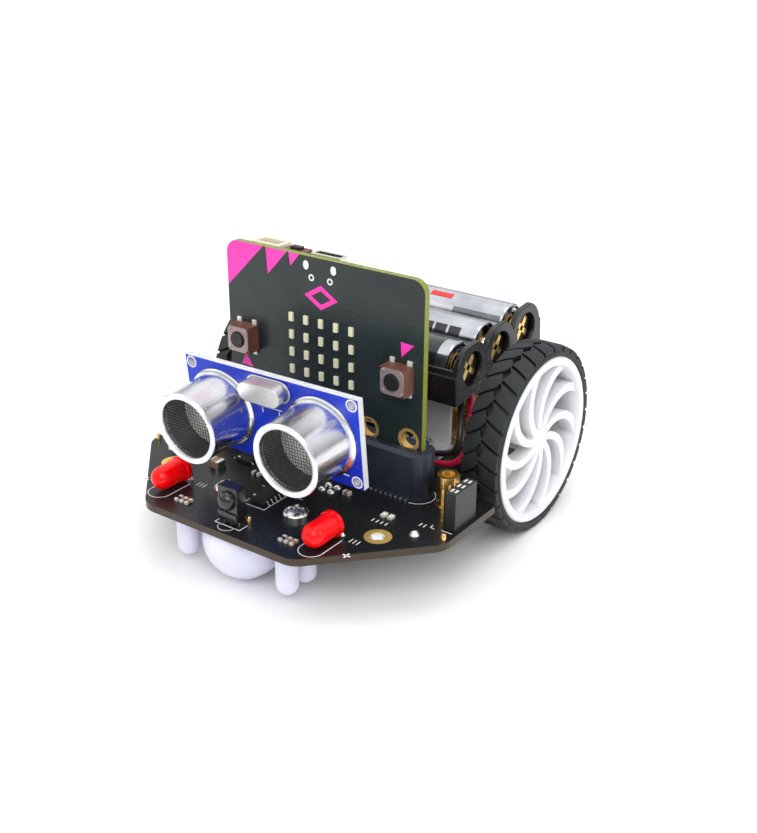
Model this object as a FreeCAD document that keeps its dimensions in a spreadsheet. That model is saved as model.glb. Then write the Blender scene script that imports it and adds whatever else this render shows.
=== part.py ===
"""Two wheel robot car: a circuit board chassis with two geared motors, a plug-in controller
board, an ultrasonic sensor, a ball caster and a holder for three cells.

Frame: +Z up, +X to the car's left, -Y is the car's front. The origin is on the ground under the
centre of the car. Millimetres.
"""

import FreeCAD, Part
import math
import os

V = FreeCAD.Vector
X_AXIS = V(1, 0, 0)
Y_AXIS = V(0, 1, 0)
Z_AXIS = V(0, 0, 1)
SIDES = (("right", 1), ("left", -1))

doc = FreeCAD.newDocument("robot_car")
sheet = doc.addObject("Spreadsheet::Sheet", "dims")

DIMENSIONS = [
    # chassis board
    ("board_top", 15.1), ("board_thick", 1.6), ("board_half", 40.5), ("nose_half", 19.7),
    ("board_front", -43.3), ("shoulder_y", -20.8), ("notch_y", -0.5), ("waist_half", 29.3),
    ("board_rear", 42.3), ("screw_hole_rad", 1.6), ("small_hole_rad", 1.1),
    ("mount_x", 28.0), ("mount_y", -26.1),
    # wheels and drive
    ("axle_y", 20.9), ("axle_z", 21.5), ("tyre_rad", 21.5), ("tyre_inner_x", 30.8),
    ("tyre_outer_x", 39.8), ("rim_rad", 18.4), ("flange_rad", 19.0), ("hub_rad", 3.6),
    ("spoke_count", 10), ("spoke_sweep", 42.0), ("spoke_phase", 11.0), ("shaft_rad", 1.5),
    ("shaft_end_x", 37.6),
    ("can_inner_x", 2.0), ("can_outer_x", 16.4), ("can_rad", 6.0), ("can_flat", 10.0),
    ("gear_face_x", 25.6), ("plate_thick", 0.7), ("gear_module", 0.2), ("pinion_teeth", 10),
    ("wheel_teeth", 26), ("layshaft_angle", 33.0), ("arbor_rad", 0.4), ("running_gap", 0.04),
    ("bracket_inner_x", 9.5), ("bracket_outer_x", 19.5), ("bracket_half", 7.0),
    ("bracket_top", 28.1), ("foot_reach", 4.4), ("foot_thick", 2.0), ("bracket_screw_y", 9.2),
    # battery holder, in its own tilted frame
    ("holder_tilt", 5.5), ("holder_y", 24.7), ("holder_z", 32.8), ("holder_half", 25.7),
    ("holder_depth", 37.4), ("holder_high", 12.0), ("cell_pitch", 11.7), ("cell_rad", 5.2),
    ("cell_length", 43.7), ("cell_axis_z", 6.35), ("holder_wall", 1.4), ("window_rad", 3.9),
    # connector and controller board
    ("connector_half", 28.2), ("connector_front", -10.3), ("connector_rear", -3.7),
    ("connector_top", 26.1), ("slot_y", -7.0), ("slot_wide", 1.7), ("slot_floor", 20.8),
    ("contact_pitch", 1.27),
    ("controller_half", 26.0), ("controller_base", 20.9), ("controller_top", 62.9),
    ("controller_thick", 1.6), ("controller_corner", 3.0), ("button_x", 20.7),
    ("button_z", 41.6), ("button_side", 6.0), ("button_high", 3.4), ("plunger_rad", 1.7),
    ("matrix_pitch", 4.0), ("matrix_top_z", 48.7),
    # ultrasonic sensor, in its own tilted frame
    ("sonar_x", 1.0), ("sonar_y", -25.8), ("sonar_z", 33.2), ("sonar_roll", 1.0),
    ("sonar_pitch", 5.0), ("sonar_long", 45.2), ("sonar_tall", 20.1), ("sonar_thick", 1.6),
    ("can_pitch", 26.2), ("sonar_can_rad", 8.0), ("sonar_can_depth", 12.0),
    ("sonar_mouth_rad", 6.4),
    # small parts
    ("led_x", 20.5), ("led_back", -31.0), ("led_rad", 2.55), ("led_axis_z", 18.0),
    ("led_dome_y", -36.9), ("receiver_x", 0.9), ("receiver_front", -40.6),
    ("caster_y", -34.4), ("caster_screw_x", 9.5),
    ("caster_screw_y", -29.1), ("ball_rad", 6.3), ("caster_dome_rad", 8.8),
    ("front_post_x", 31.9), ("front_post_y", -6.4), ("rear_post_x", 26.5),
    ("rear_post_y", 38.3), ("post_high", 7.0),
    ("post_bore_deep", 3.6), ("post_screw_long", 4.0), ("port_x", 38.35), ("port_front", -15.9),
    ("port_long", 8.1), ("port_high", 8.5), ("pin_x", 35.8), ("pin_pitch", 2.54),
    ("pin_side", 0.64), ("lead_rad", 0.7), ("lead_y", 7.1),
]
for row, (alias, value) in enumerate(DIMENSIONS, start=1):
    sheet.set("A%d" % row, alias)
    sheet.set("B%d" % row, str(value))
    sheet.setAlias("B%d" % row, alias)
doc.recompute()

SUB_PARTS = {}


def dim(alias):
    """The present value of a cell of the sheet."""
    return float(sheet.get(alias))


def bind(thing, **formulas):
    """Bind properties to formulas in which every dimension is written as dims.alias."""
    for prop, formula in formulas.items():
        thing.setExpression(prop.replace("_", "."), str(formula))


def place(thing, x, y, z):
    thing.setExpression("Placement.Base.x", str(x))
    thing.setExpression("Placement.Base.y", str(y))
    thing.setExpression("Placement.Base.z", str(z))


def block(x, y, z, long, wide, tall):
    """A box between a low corner and that corner plus its sizes, all of them formulas."""
    box = doc.addObject("Part::Box", "block")
    bind(box, Length=long, Width=wide, Height=tall)
    place(box, x, y, z)
    return box


def rod(x, y, z, radius, length, axis=Z_AXIS):
    """A cylinder from a foot point along an axis."""
    cylinder = doc.addObject("Part::Cylinder", "rod")
    bind(cylinder, Radius=radius, Height=length)
    cylinder.Placement = FreeCAD.Placement(V(), FreeCAD.Rotation(Z_AXIS, axis))
    place(cylinder, x, y, z)
    return cylinder


def ball(x, y, z, radius):
    sphere = doc.addObject("Part::Sphere", "ball")
    bind(sphere, Radius=radius)
    place(sphere, x, y, z)
    return sphere


def fuse(*shapes):
    joined = doc.addObject("Part::MultiFuse", "fuse")
    joined.Shapes = list(shapes)
    joined.Refine = True
    return joined


def cut(base, *tools):
    """A base with one or more tools taken away."""
    result = doc.addObject("Part::Cut", "cut")
    result.Base = base
    result.Tool = tools[0] if len(tools) == 1 else fuse(*tools)
    return result


def common(first, second):
    result = doc.addObject("Part::Common", "common")
    result.Base = first
    result.Tool = second
    return result


def group(shapes):
    """Separate solids kept together as one sub-part."""
    compound = doc.addObject("Part::Compound", "group")
    compound.Links = list(shapes)
    return compound


def feature(shape):
    """A sub-part whose shape comes from Part's own functions."""
    made = doc.addObject("Part::Feature", "feature")
    made.Shape = shape
    return made


def keep(node, thing, placement=None):
    """Name a finished sub-part and remember it for writing."""
    thing.Label = node
    if placement is not None:
        thing.Placement = placement
    SUB_PARTS[node] = thing
    return thing


def origin_plane(body, role):
    for item in body.Origin.OriginFeatures:
        if item.Role == role:
            return item
    raise ValueError(role)


def sketch_on(body, role, name):
    sketch = body.newObject("Sketcher::SketchObject", name)
    sketch.AttachmentSupport = [(origin_plane(body, role), "")]
    sketch.MapMode = "FlatFace"
    return sketch


def outline(sketch, points):
    """A closed outline of straight lines through the points."""
    for start, end in zip(points, points[1:] + points[:1]):
        sketch.addGeometry(Part.LineSegment(V(*start, 0), V(*end, 0)), False)


def circle(sketch, x, y, radius):
    sketch.addGeometry(Part.Circle(V(x, y, 0), Z_AXIS, radius), False)


def pad(body, sketch, formula, name):
    made = body.newObject("PartDesign::Pad", name)
    made.Profile = sketch
    made.setExpression("Length", formula)
    return made


def mirrored_points(half):
    """A half outline at +X completed by its mirror image."""
    return half + [(-x, y) for x, y in reversed(half)]


# ---------------------------------------------------------------- chassis board

def round_corners(points, radii):
    """Lines and arcs of a closed outline whose corners have the given radii."""
    edges = []
    tangents = []
    count = len(points)
    for i, radius in enumerate(radii):
        here = V(*points[i], 0)
        back = (V(*points[i - 1], 0) - here).normalize()
        ahead = (V(*points[(i + 1) % count], 0) - here).normalize()
        half_angle = back.getAngle(ahead) / 2
        reach = radius / math.tan(half_angle)
        middle = (back + ahead).normalize()
        top = here + middle * (radius / math.sin(half_angle) - radius)
        tangents.append((here + back * reach, top, here + ahead * reach))
    for i in range(count):
        start, top, end = tangents[i]
        edges.append(Part.Arc(start, top, end))
        edges.append(Part.LineSegment(end, tangents[(i + 1) % count][0]))
    return edges


def chassis_board():
    body = doc.addObject("PartDesign::Body", "ChassisBoard")
    sketch = sketch_on(body, "XY_Plane", "board_outline")
    half = [
        (dim("nose_half"), dim("board_front")),
        (dim("board_half"), dim("shoulder_y")),
        (dim("board_half"), dim("notch_y")),
        (dim("waist_half"), dim("notch_y")),
        (dim("waist_half"), dim("board_rear")),
    ]
    radii = [5.0, 5.0, 1.5, 1.0, 3.0]
    for edge in round_corners(mirrored_points(half), radii + radii[::-1]):
        sketch.addGeometry(edge, False)
    for side in (1, -1):
        for x, y in (("mount_x", "mount_y"), ("caster_screw_x", "caster_screw_y"),
                     ("front_post_x", "front_post_y"), ("rear_post_x", "rear_post_y")):
            circle(sketch, side * dim(x), dim(y), dim("screw_hole_rad"))
        middle_x = (dim("bracket_inner_x") + dim("bracket_outer_x")) / 2
        for end in (1, -1):
            screw_y = dim("axle_y") + end * dim("bracket_screw_y")
            circle(sketch, side * middle_x, screw_y, dim("small_hole_rad"))
    pad(body, sketch, "dims.board_thick", "board_pad")
    bottom = dim("board_top") - dim("board_thick")
    keep("main_board", body, FreeCAD.Placement(V(0, 0, bottom), FreeCAD.Rotation()))


# ---------------------------------------------------------------- screws and posts

def pan_screw(x, y, seat_z, radius, head_radius, head_high, length, up):
    """A pan head screw seated at seat_z; up is 1 for a head above its seat, -1 below."""
    head = doc.addObject("Part::Cylinder", "head")
    bind(head, Radius=head_radius, Height=head_high)
    place(head, x, y, seat_z if up > 0 else "%s - %s" % (seat_z, head_high))
    shank = rod(x, y, "%s - %s" % (seat_z, length) if up > 0 else seat_z, radius, length)
    driver = rod(x, y, "%s + %s" % (seat_z, 0.45 * head_high) if up > 0
                 else "%s - %s" % (seat_z, head_high), 0.45 * head_radius, 0.55 * head_high)
    return cut(fuse(head, shank), driver)


def fasteners():
    underside = "(dims.board_top - dims.board_thick)"
    screws = []
    posts = []
    for side in (1, -1):
        for name in ("front", "rear"):
            x = "%d * dims.%s_post_x" % (side, name)
            y = "dims.%s_post_y" % name
            prism = doc.addObject("Part::Prism", "hexagon")
            prism.Polygon = 6
            bind(prism, Circumradius=2.65, Height="dims.post_high")
            prism.Placement = FreeCAD.Placement(V(), FreeCAD.Rotation(Z_AXIS, 30))
            place(prism, x, y, "dims.board_top")
            crown = common(prism, rod(x, y, "dims.board_top", 2.45, "dims.post_high"))
            upper = rod(x, y, "dims.board_top + dims.post_high - dims.post_bore_deep", 1.5,
                        "dims.post_bore_deep")
            lower = rod(x, y, "dims.board_top", 1.25,
                        "dims.post_screw_long - dims.board_thick + 0.2")
            posts.append(cut(crown, upper, lower))
            screws.append(pan_screw(x, y, underside, 1.2, 2.7, 1.8, "dims.post_screw_long", -1))
    keep("brass_posts", group(posts))
    keep("post_screws", group(screws))

    caster = [pan_screw("%d * dims.caster_screw_x" % side, "dims.caster_screw_y",
                        "dims.board_top", 1.45, 2.75, 1.9, 6.0, 1) for side in (1, -1)]
    keep("caster_screws", group(caster))

    middle = "(dims.bracket_inner_x + dims.bracket_outer_x) / 2"
    small = []
    for side in (1, -1):
        for end in (1, -1):
            small.append(pan_screw(
                "%d * %s" % (side, middle), "dims.axle_y + %d * dims.bracket_screw_y" % end,
                "(dims.board_top + dims.foot_thick)", 0.95, 1.8, 1.3, 5.5, 1))
    keep("bracket_screws", group(small))


# ---------------------------------------------------------------- motors and gearboxes

def side_x(side, low, high):
    """The low end of a span that runs from low to high on the +X side, on either side."""
    return low if side > 0 else "-(%s)" % high


def gear_solid(teeth, x_start, x_end, phase, bore):
    """A spur gear with its axis along X, its first tooth at the given angle from +Y."""
    module = dim("gear_module")
    pitch_rad = teeth * module / 2
    step = 2 * math.pi / teeth
    flank = ((-1.15, -0.275), (0.0, -0.2), (0.75, -0.09), (0.75, 0.09), (0.0, 0.2), (-1.15, 0.275))
    points = []
    for tooth in range(int(teeth)):
        for height, share in flank:
            radius = pitch_rad + height * module
            angle = phase + (tooth + share) * step
            points.append(V(x_start, radius * math.cos(angle), radius * math.sin(angle)))
    face = Part.Face(Part.makePolygon(points + points[:1]))
    solid = face.extrude(V(x_end - x_start, 0, 0))
    if bore > 0:
        solid = solid.cut(Part.makeCylinder(bore, x_end - x_start, V(x_start, 0, 0), X_AXIS))
    return solid


def drive_gears(name, side):
    """Motor pinion, layshaft gear and output shaft of one gearbox, in mesh at rest."""
    small = dim("pinion_teeth")
    large = dim("wheel_teeth")
    gap = dim("running_gap")
    arbor = dim("arbor_rad")
    lay_angle = math.radians(dim("layshaft_angle"))
    distance = dim("gear_module") * (small + large) / 2
    lay_y = distance * math.cos(lay_angle)
    lay_z = distance * math.sin(lay_angle)
    face_x = dim("gear_face_x")
    plate = dim("plate_thick")
    can_x = dim("can_outer_x")
    facing_back = lay_angle + math.pi

    pinion = gear_solid(small, can_x + 1.1, can_x + 3.6, lay_angle, 0)
    pinion = pinion.fuse(Part.makeCylinder(0.5, 4.0, V(can_x - 2.9, 0, 0), X_AXIS))

    big = gear_solid(large, can_x + 1.2, can_x + 3.5, facing_back + math.pi / large, 0)
    lay_pinion = gear_solid(small, can_x + 3.5, face_x - plate - 0.4, facing_back, 0)
    layshaft = big.fuse(lay_pinion)
    layshaft = layshaft.cut(Part.makeCylinder(arbor + gap, 12, V(can_x, 0, 0), X_AXIS))
    layshaft.translate(V(0, lay_y, lay_z))

    output = gear_solid(large, can_x + 4.2, face_x - plate - 0.4, lay_angle + math.pi / large, 0)
    shaft_rad = dim("shaft_rad")
    start = face_x - plate - 0.6
    shaft = Part.makeCylinder(shaft_rad, dim("shaft_end_x") - start, V(start, 0, 0), X_AXIS)
    flat = Part.makeBox(20, 4, 4, V(face_x + 2.2, -2, shaft_rad * 0.67))
    output = output.fuse(shaft).cut(flat)

    turn = FreeCAD.Rotation(Z_AXIS, 0 if side > 0 else 180)
    home = FreeCAD.Placement(V(0, dim("axle_y"), dim("axle_z")), turn)
    for node, shape in (("motor_pinion", pinion), ("layshaft_gear", layshaft),
                        ("output_shaft", output)):
        keep("%s_%s" % (node, name), feature(shape.removeSplitter()), home)


def motors():
    cans = []
    caps = []
    frames = []
    distance = "dims.gear_module * (dims.pinion_teeth + dims.wheel_teeth) / 2"
    for name, side in SIDES:
        can = rod("dims.can_inner_x", 0, 0, "dims.can_rad",
                  "dims.can_outer_x - dims.can_inner_x", X_AXIS)
        flats = block(0, "-dims.can_rad", "-dims.can_flat / 2", 20, "2 * dims.can_rad",
                      "dims.can_flat")
        nose = rod("dims.can_outer_x - 3", 0, 0, "0.5 + dims.running_gap", 3, X_AXIS)
        cans.append(cut(common(can, flats), nose))

        cap = rod("dims.can_inner_x - 0.7", 0, 0, 4.6, 0.7, X_AXIS)
        tabs = [block("dims.can_inner_x - 1.6", "%g" % y, -0.9, 0.95, 0.35, 1.8)
                for y in (-3.4, 3.05)]
        caps.append(fuse(cap, *tabs))

        plates = []
        for low in ("dims.can_outer_x", "dims.gear_face_x - dims.plate_thick"):
            plates.append(block(low, "-dims.can_rad", "-dims.can_flat / 2", "dims.plate_thick",
                                "2 * dims.can_rad", "dims.can_flat"))
        posts = [rod("dims.can_outer_x", y, z, 0.6, "dims.gear_face_x - dims.can_outer_x", X_AXIS)
                 for y, z in ((5.0, -4.0), (-5.0, -4.0), (-5.0, 4.0))]
        arbor = rod("dims.can_outer_x", distance + " * cos(dims.layshaft_angle * 1 deg)",
                    distance + " * sin(dims.layshaft_angle * 1 deg)", "dims.arbor_rad",
                    "dims.gear_face_x - dims.can_outer_x", X_AXIS)
        bush = rod("dims.gear_face_x", 0, 0, 2.4, 0.8, X_AXIS)
        bores = [
            rod("dims.can_outer_x", 0, 0, "0.5 + dims.running_gap", 1, X_AXIS),
            rod("dims.gear_face_x - 1", 0, 0, "dims.shaft_rad + dims.running_gap", 2, X_AXIS),
        ]
        frames.append(cut(fuse(*plates, *posts, arbor, bush), *bores))

        turn = FreeCAD.Rotation(Z_AXIS, 0 if side > 0 else 180)
        home = FreeCAD.Placement(V(0, dim("axle_y"), dim("axle_z")), turn)
        for piece in (cans[-1], caps[-1], frames[-1]):
            piece.Placement = home
        drive_gears(name, side)
    keep("motor_cans", group(cans))
    keep("motor_end_caps", group(caps))
    keep("gearbox_frames", group(frames))


def motor_brackets():
    brackets = []
    long = "dims.bracket_outer_x - dims.bracket_inner_x"
    middle = "(dims.bracket_inner_x + dims.bracket_outer_x) / 2"
    for _, side in SIDES:
        low = side_x(side, "dims.bracket_inner_x", "dims.bracket_outer_x")
        wall = block(low, "dims.axle_y - dims.bracket_half", "dims.board_top", long,
                     "2 * dims.bracket_half", "dims.bracket_top - dims.board_top")
        feet = block(low, "dims.axle_y - dims.bracket_half - dims.foot_reach", "dims.board_top",
                     long, "2 * (dims.bracket_half + dims.foot_reach)", "dims.foot_thick")
        solid = fuse(wall, feet)
        hole = block(low, "dims.axle_y - dims.can_rad - 0.05",
                     "dims.axle_z - dims.can_flat / 2 - 0.05", long,
                     "2 * dims.can_rad + 0.1", "dims.can_flat + 0.1")
        screws = [rod("%d * %s" % (side, middle),
                      "dims.axle_y + %d * dims.bracket_screw_y" % end, "dims.board_top - 1",
                      "dims.small_hole_rad", 5) for end in (1, -1)]
        brackets.append(cut(solid, hole, *screws))
    keep("motor_brackets", group(brackets))


# ---------------------------------------------------------------- wheels

def wheel_home(side):
    """A wheel is drawn about its own Z axis, which points outwards from the car."""
    outwards = FreeCAD.Rotation(Y_AXIS, 90 * side)
    flat_up = FreeCAD.Rotation(Z_AXIS, 0 if side > 0 else 180)
    return FreeCAD.Placement(V(0, dim("axle_y"), dim("axle_z")), outwards.multiply(flat_up))


def revolution(body, sketch, name):
    made = body.newObject("PartDesign::Revolution", name)
    made.Profile = sketch
    made.ReferenceAxis = (sketch, ["V_Axis"])
    made.Angle = 360
    return made


def wheel(name, side):
    body = doc.addObject("PartDesign::Body", "Wheel_" + name)
    inner = dim("tyre_inner_x")
    outer = dim("tyre_outer_x")
    rim = dim("rim_rad")
    hub = dim("hub_rad")
    rim_sketch = sketch_on(body, "XZ_Plane", "rim_section")
    outline(rim_sketch, [
        (rim - 1.5, inner + 0.4), (rim, inner + 0.4), (rim, outer - 1.6),
        (dim("flange_rad"), outer - 1.6), (dim("flange_rad"), outer - 0.35),
        (dim("flange_rad") - 0.35, outer), (rim - 1.2, outer), (rim - 1.5, outer - 0.4),
    ])
    revolution(body, rim_sketch, "rim")
    hub_sketch = sketch_on(body, "XY_Plane", "hub_section")
    circle(hub_sketch, 0, 0, hub)
    hub_sketch.AttachmentOffset = FreeCAD.Placement(V(0, 0, inner + 1.2), FreeCAD.Rotation())
    pad(body, hub_sketch, "dims.tyre_outer_x - dims.tyre_inner_x - 2.4", "hub")

    blade = sketch_on(body, "XY_Plane", "blade_outline")
    blade.AttachmentOffset = FreeCAD.Placement(V(0, 0, inner + 4.6), FreeCAD.Rotation())
    sweep = math.radians(dim("spoke_sweep"))
    phase = math.radians(dim("spoke_phase"))
    root = (hub - 0.5, phase)
    middle = (10.2, phase - 0.38 * sweep)
    tip = (rim - 0.8, phase - sweep)

    def polar(point, offset):
        radius, angle = point
        return V(radius * math.cos(angle + offset / radius),
                 radius * math.sin(angle + offset / radius), 0)

    near = [polar(root, -0.85), polar(middle, -1.0), polar(tip, -1.8)]
    far = [polar(root, 0.85), polar(middle, 1.1), polar(tip, 1.9)]
    blade.addGeometry(Part.Arc(*near), False)
    blade.addGeometry(Part.LineSegment(near[2], far[2]), False)
    blade.addGeometry(Part.Arc(*far), False)
    blade.addGeometry(Part.LineSegment(far[0], near[0]), False)
    blade_pad = pad(body, blade, "dims.tyre_outer_x - dims.tyre_inner_x - 5.6", "blade")
    doc.recompute()
    pattern = body.newObject("PartDesign::PolarPattern", "blades")
    pattern.Originals = [blade_pad]
    pattern.Axis = (blade, ["N_Axis"])
    pattern.Angle = 360
    pattern.setExpression("Occurrences", "dims.spoke_count")
    body.Tip = pattern
    doc.recompute()

    bore = sketch_on(body, "XY_Plane", "bore_outline")
    bore.AttachmentOffset = FreeCAD.Placement(V(0, 0, inner), FreeCAD.Rotation())
    shaft = dim("shaft_rad")
    level = shaft * 0.67
    half = math.sqrt(shaft ** 2 - level ** 2)
    flat_ends = [V(-level, half, 0), V(-level, -half, 0)]
    bore.addGeometry(Part.Arc(flat_ends[0], V(shaft, 0, 0), flat_ends[1]), False)
    bore.addGeometry(Part.LineSegment(flat_ends[1], flat_ends[0]), False)
    pocket = body.newObject("PartDesign::Pocket", "bore")
    pocket.Profile = bore
    pocket.Reversed = True
    pocket.setExpression("Length", "dims.shaft_end_x - dims.tyre_inner_x")
    body.Tip = pocket
    keep("wheel_" + name, body, wheel_home(side))


def tyre(name, side):
    body = doc.addObject("PartDesign::Body", "Tyre_" + name)
    inner = dim("tyre_inner_x")
    outer = dim("tyre_outer_x")
    seat = dim("rim_rad") + 0.05
    lip = dim("flange_rad") + 0.05
    edge = 0.7
    section = sketch_on(body, "XZ_Plane", "tyre_section")
    outline(section, [
        (seat, inner), (dim("tyre_rad") - edge, inner), (dim("tyre_rad"), inner + edge),
        (dim("tyre_rad"), outer - edge), (dim("tyre_rad") - edge, outer), (lip, outer),
        (lip, outer - 1.65), (seat, outer - 1.65),
    ])
    revolution(body, section, "tread")
    keep("tyre_" + name, body, wheel_home(side))


# ---------------------------------------------------------------- caster

def caster():
    under = "(dims.board_top - dims.board_thick)"
    base = block("-dims.caster_screw_x - 4", "dims.caster_screw_y - 3.6", under + " - 2",
                 "2 * dims.caster_screw_x + 8", 7, 2)
    deck = block(-17, "dims.caster_y - 6", under + " - 2", 34, 12, 2)
    dome = common(ball(0, "dims.caster_y", "dims.ball_rad + 3.2", "dims.caster_dome_rad"),
                  block(-12, "dims.caster_y - 12", 2.2, 24, 24, under + " - 2.2"))
    legs = []
    for side in (1, -1):
        for y in (-2.9, 2.9):
            x = "%d * 13.6" % side
            legs.append(rod(x, "dims.caster_y + %g" % y, 4.6, 2.4, under + " - 4.6"))
            legs.append(ball(x, "dims.caster_y + %g" % y, 4.6, 2.4))
    hollow = ball(0, "dims.caster_y", "dims.ball_rad", "dims.ball_rad + 0.35")
    mouth = rod(0, "dims.caster_y", 0, 5.9, 4)
    holes = [rod("%d * dims.caster_screw_x" % side, "dims.caster_screw_y", under + " - 3",
                 "dims.screw_hole_rad", 4) for side in (1, -1)]
    keep("caster_housing", cut(fuse(base, deck, dome, *legs), hollow, mouth, *holes))
    keep("caster_ball", ball(0, "dims.caster_y", "dims.ball_rad", "dims.ball_rad"))


# ---------------------------------------------------------------- board furniture

def edge_connector():
    end_rad = "(dims.connector_rear - dims.connector_front) / 2"
    middle_y = "(dims.connector_rear + dims.connector_front) / 2"
    high = "dims.connector_top - dims.board_top"
    straight = "dims.connector_half - " + end_rad
    shell = fuse(
        block("-(%s)" % straight, "dims.connector_front", "dims.board_top",
              "2 * (%s)" % straight, "2 * " + end_rad, high),
        *[rod("%d * (%s)" % (side, straight), middle_y, "dims.board_top", end_rad, high)
          for side in (1, -1)])
    slot = block("-dims.controller_half - 0.15", "dims.slot_y - dims.slot_wide / 2",
                 "dims.slot_floor", "2 * dims.controller_half + 0.3", "dims.slot_wide", 10)
    slope = doc.addObject("Part::Wedge", "slope")
    for prop, value in (("Xmin", 0), ("Xmax", 60), ("X2min", 0), ("X2max", 60), ("Ymin", 0),
                        ("Ymax", 0.8), ("Zmin", 0), ("Zmax", 0.8), ("Z2min", 0), ("Z2max", 0)):
        setattr(slope, prop, value)
    slope.Placement = FreeCAD.Placement(V(), FreeCAD.Rotation(X_AXIS, -90))
    place(slope, -30, "dims.connector_front", "dims.connector_top + 0.01")
    keep("edge_connector", cut(shell, slot, slope))

    contacts = []
    for i in range(39):
        x = (i - 19) * dim("contact_pitch")
        for y in ("dims.connector_front - 0.6", "dims.connector_rear"):
            contacts.append(block(x - 0.3, y, "dims.board_top", 0.6, 0.6, 0.4))
    keep("edge_contacts", group(contacts))


def ports():
    """Three-way sockets with a row of bare pins beside each."""
    sockets = []
    pins = []
    for side in (1, -1):
        low = side_x(side, "dims.port_x - 1.25", "dims.port_x + 1.25")
        shell = block(low, "dims.port_front", "dims.board_top", 2.5, "dims.port_long",
                      "dims.port_high")
        slots = []
        for i in range(3):
            y = "dims.port_front + 1.51 + %g" % (i * 2.54)
            slots.append(block("%d * dims.port_x - 0.35" % side, y + " - 0.35",
                               "dims.board_top + 2.5", 0.7, 0.7, 8))
            pins.append(block("%d * dims.pin_x - dims.pin_side / 2" % side,
                              y + " - dims.pin_side / 2", "dims.board_top", "dims.pin_side",
                              "dims.pin_side", 8.0))
        sockets.append(cut(shell, *slots))
    keep("port_sockets", group(sockets))
    keep("port_pins", group(pins))


def headlights():
    lamps = []
    leads = []
    for side in (1, -1):
        x = "%d * dims.led_x" % side
        body = rod(x, "dims.led_back", "dims.led_axis_z", "dims.led_rad",
                   "dims.led_back - dims.led_dome_y", V(0, -1, 0))
        flange = rod(x, "dims.led_back", "dims.led_axis_z", "dims.led_rad + 0.3", 1.0,
                     V(0, -1, 0))
        dome = ball(x, "dims.led_dome_y", "dims.led_axis_z", "dims.led_rad")
        lamps.append(fuse(body, flange, dome))
        for offset in (-1.27, 1.27):
            level = block("%s + %g" % (x, offset - 0.25), "dims.led_back",
                          "dims.led_axis_z - 0.25", 0.5, 1.5, 0.5)
            drop = block("%s + %g" % (x, offset - 0.25), "dims.led_back + 1.0", "dims.board_top",
                         0.5, 0.5, "dims.led_axis_z - dims.board_top")
            leads.append(fuse(level, drop))
    keep("headlight_leds", group(lamps))

    shell = block("dims.receiver_x - 2.55", "dims.receiver_front", "dims.board_top + 1.0", 5.1,
                  3.3, 7.6)
    lens = common(ball("dims.receiver_x", "dims.receiver_front + 0.7", "dims.board_top + 5.6",
                       2.1),
                  block("dims.receiver_x - 3", "dims.receiver_front - 3", "dims.board_top + 2", 6,
                        4, 8))
    keep("ir_receiver", fuse(shell, lens))
    for offset in (-1.9, 0, 1.9):
        leads.append(block("dims.receiver_x - 0.25 + %g" % offset, "dims.receiver_front + 1.3",
                           "dims.board_top", 0.5, 0.5, 1.0))
    keep("component_leads", group(leads))


SMALL_COMPONENTS = (
    # centre x, centre y, along x, along y, height
    (13.4, -38.1, 0.9, 2.0, 0.6), (14.8, -38.1, 0.9, 2.0, 0.6), (16.2, -38.1, 0.9, 2.0, 0.6),
    (-14.9, -38.1, 0.9, 2.0, 0.6), (-13.5, -38.1, 0.9, 2.0, 0.6), (-12.1, -38.1, 0.9, 2.0, 0.6),
    (7.5, -15.6, 1.6, 0.8, 0.5), (12.5, -15.6, 1.8, 1.2, 0.9), (24.2, -18.5, 0.8, 1.6, 0.6),
    (25.7, -18.5, 0.8, 1.6, 0.6), (-19.0, -22.1, 2.6, 3.4, 2.4), (-9.0, -17.0, 2.0, 1.2, 0.8),
    (-9.0, -20.0, 2.0, 1.2, 0.8), (-24.0, -18.5, 0.8, 1.6, 0.6), (18.0, 33.0, 1.6, 0.8, 0.6),
    (21.0, 33.0, 1.6, 0.8, 0.6), (-18.0, 34.8, 2.6, 3.0, 1.8),
)
BOARD_CHIPS = (
    (-0.3, -26.6, 3.9, 6.6, 1.5), (-15.5, -15.5, 4.0, 4.0, 1.0), (-4.0, 4.5, 6.0, 4.4, 1.4),
    (-22.5, 1.8, 3.0, 5.0, 1.2),
)


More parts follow.
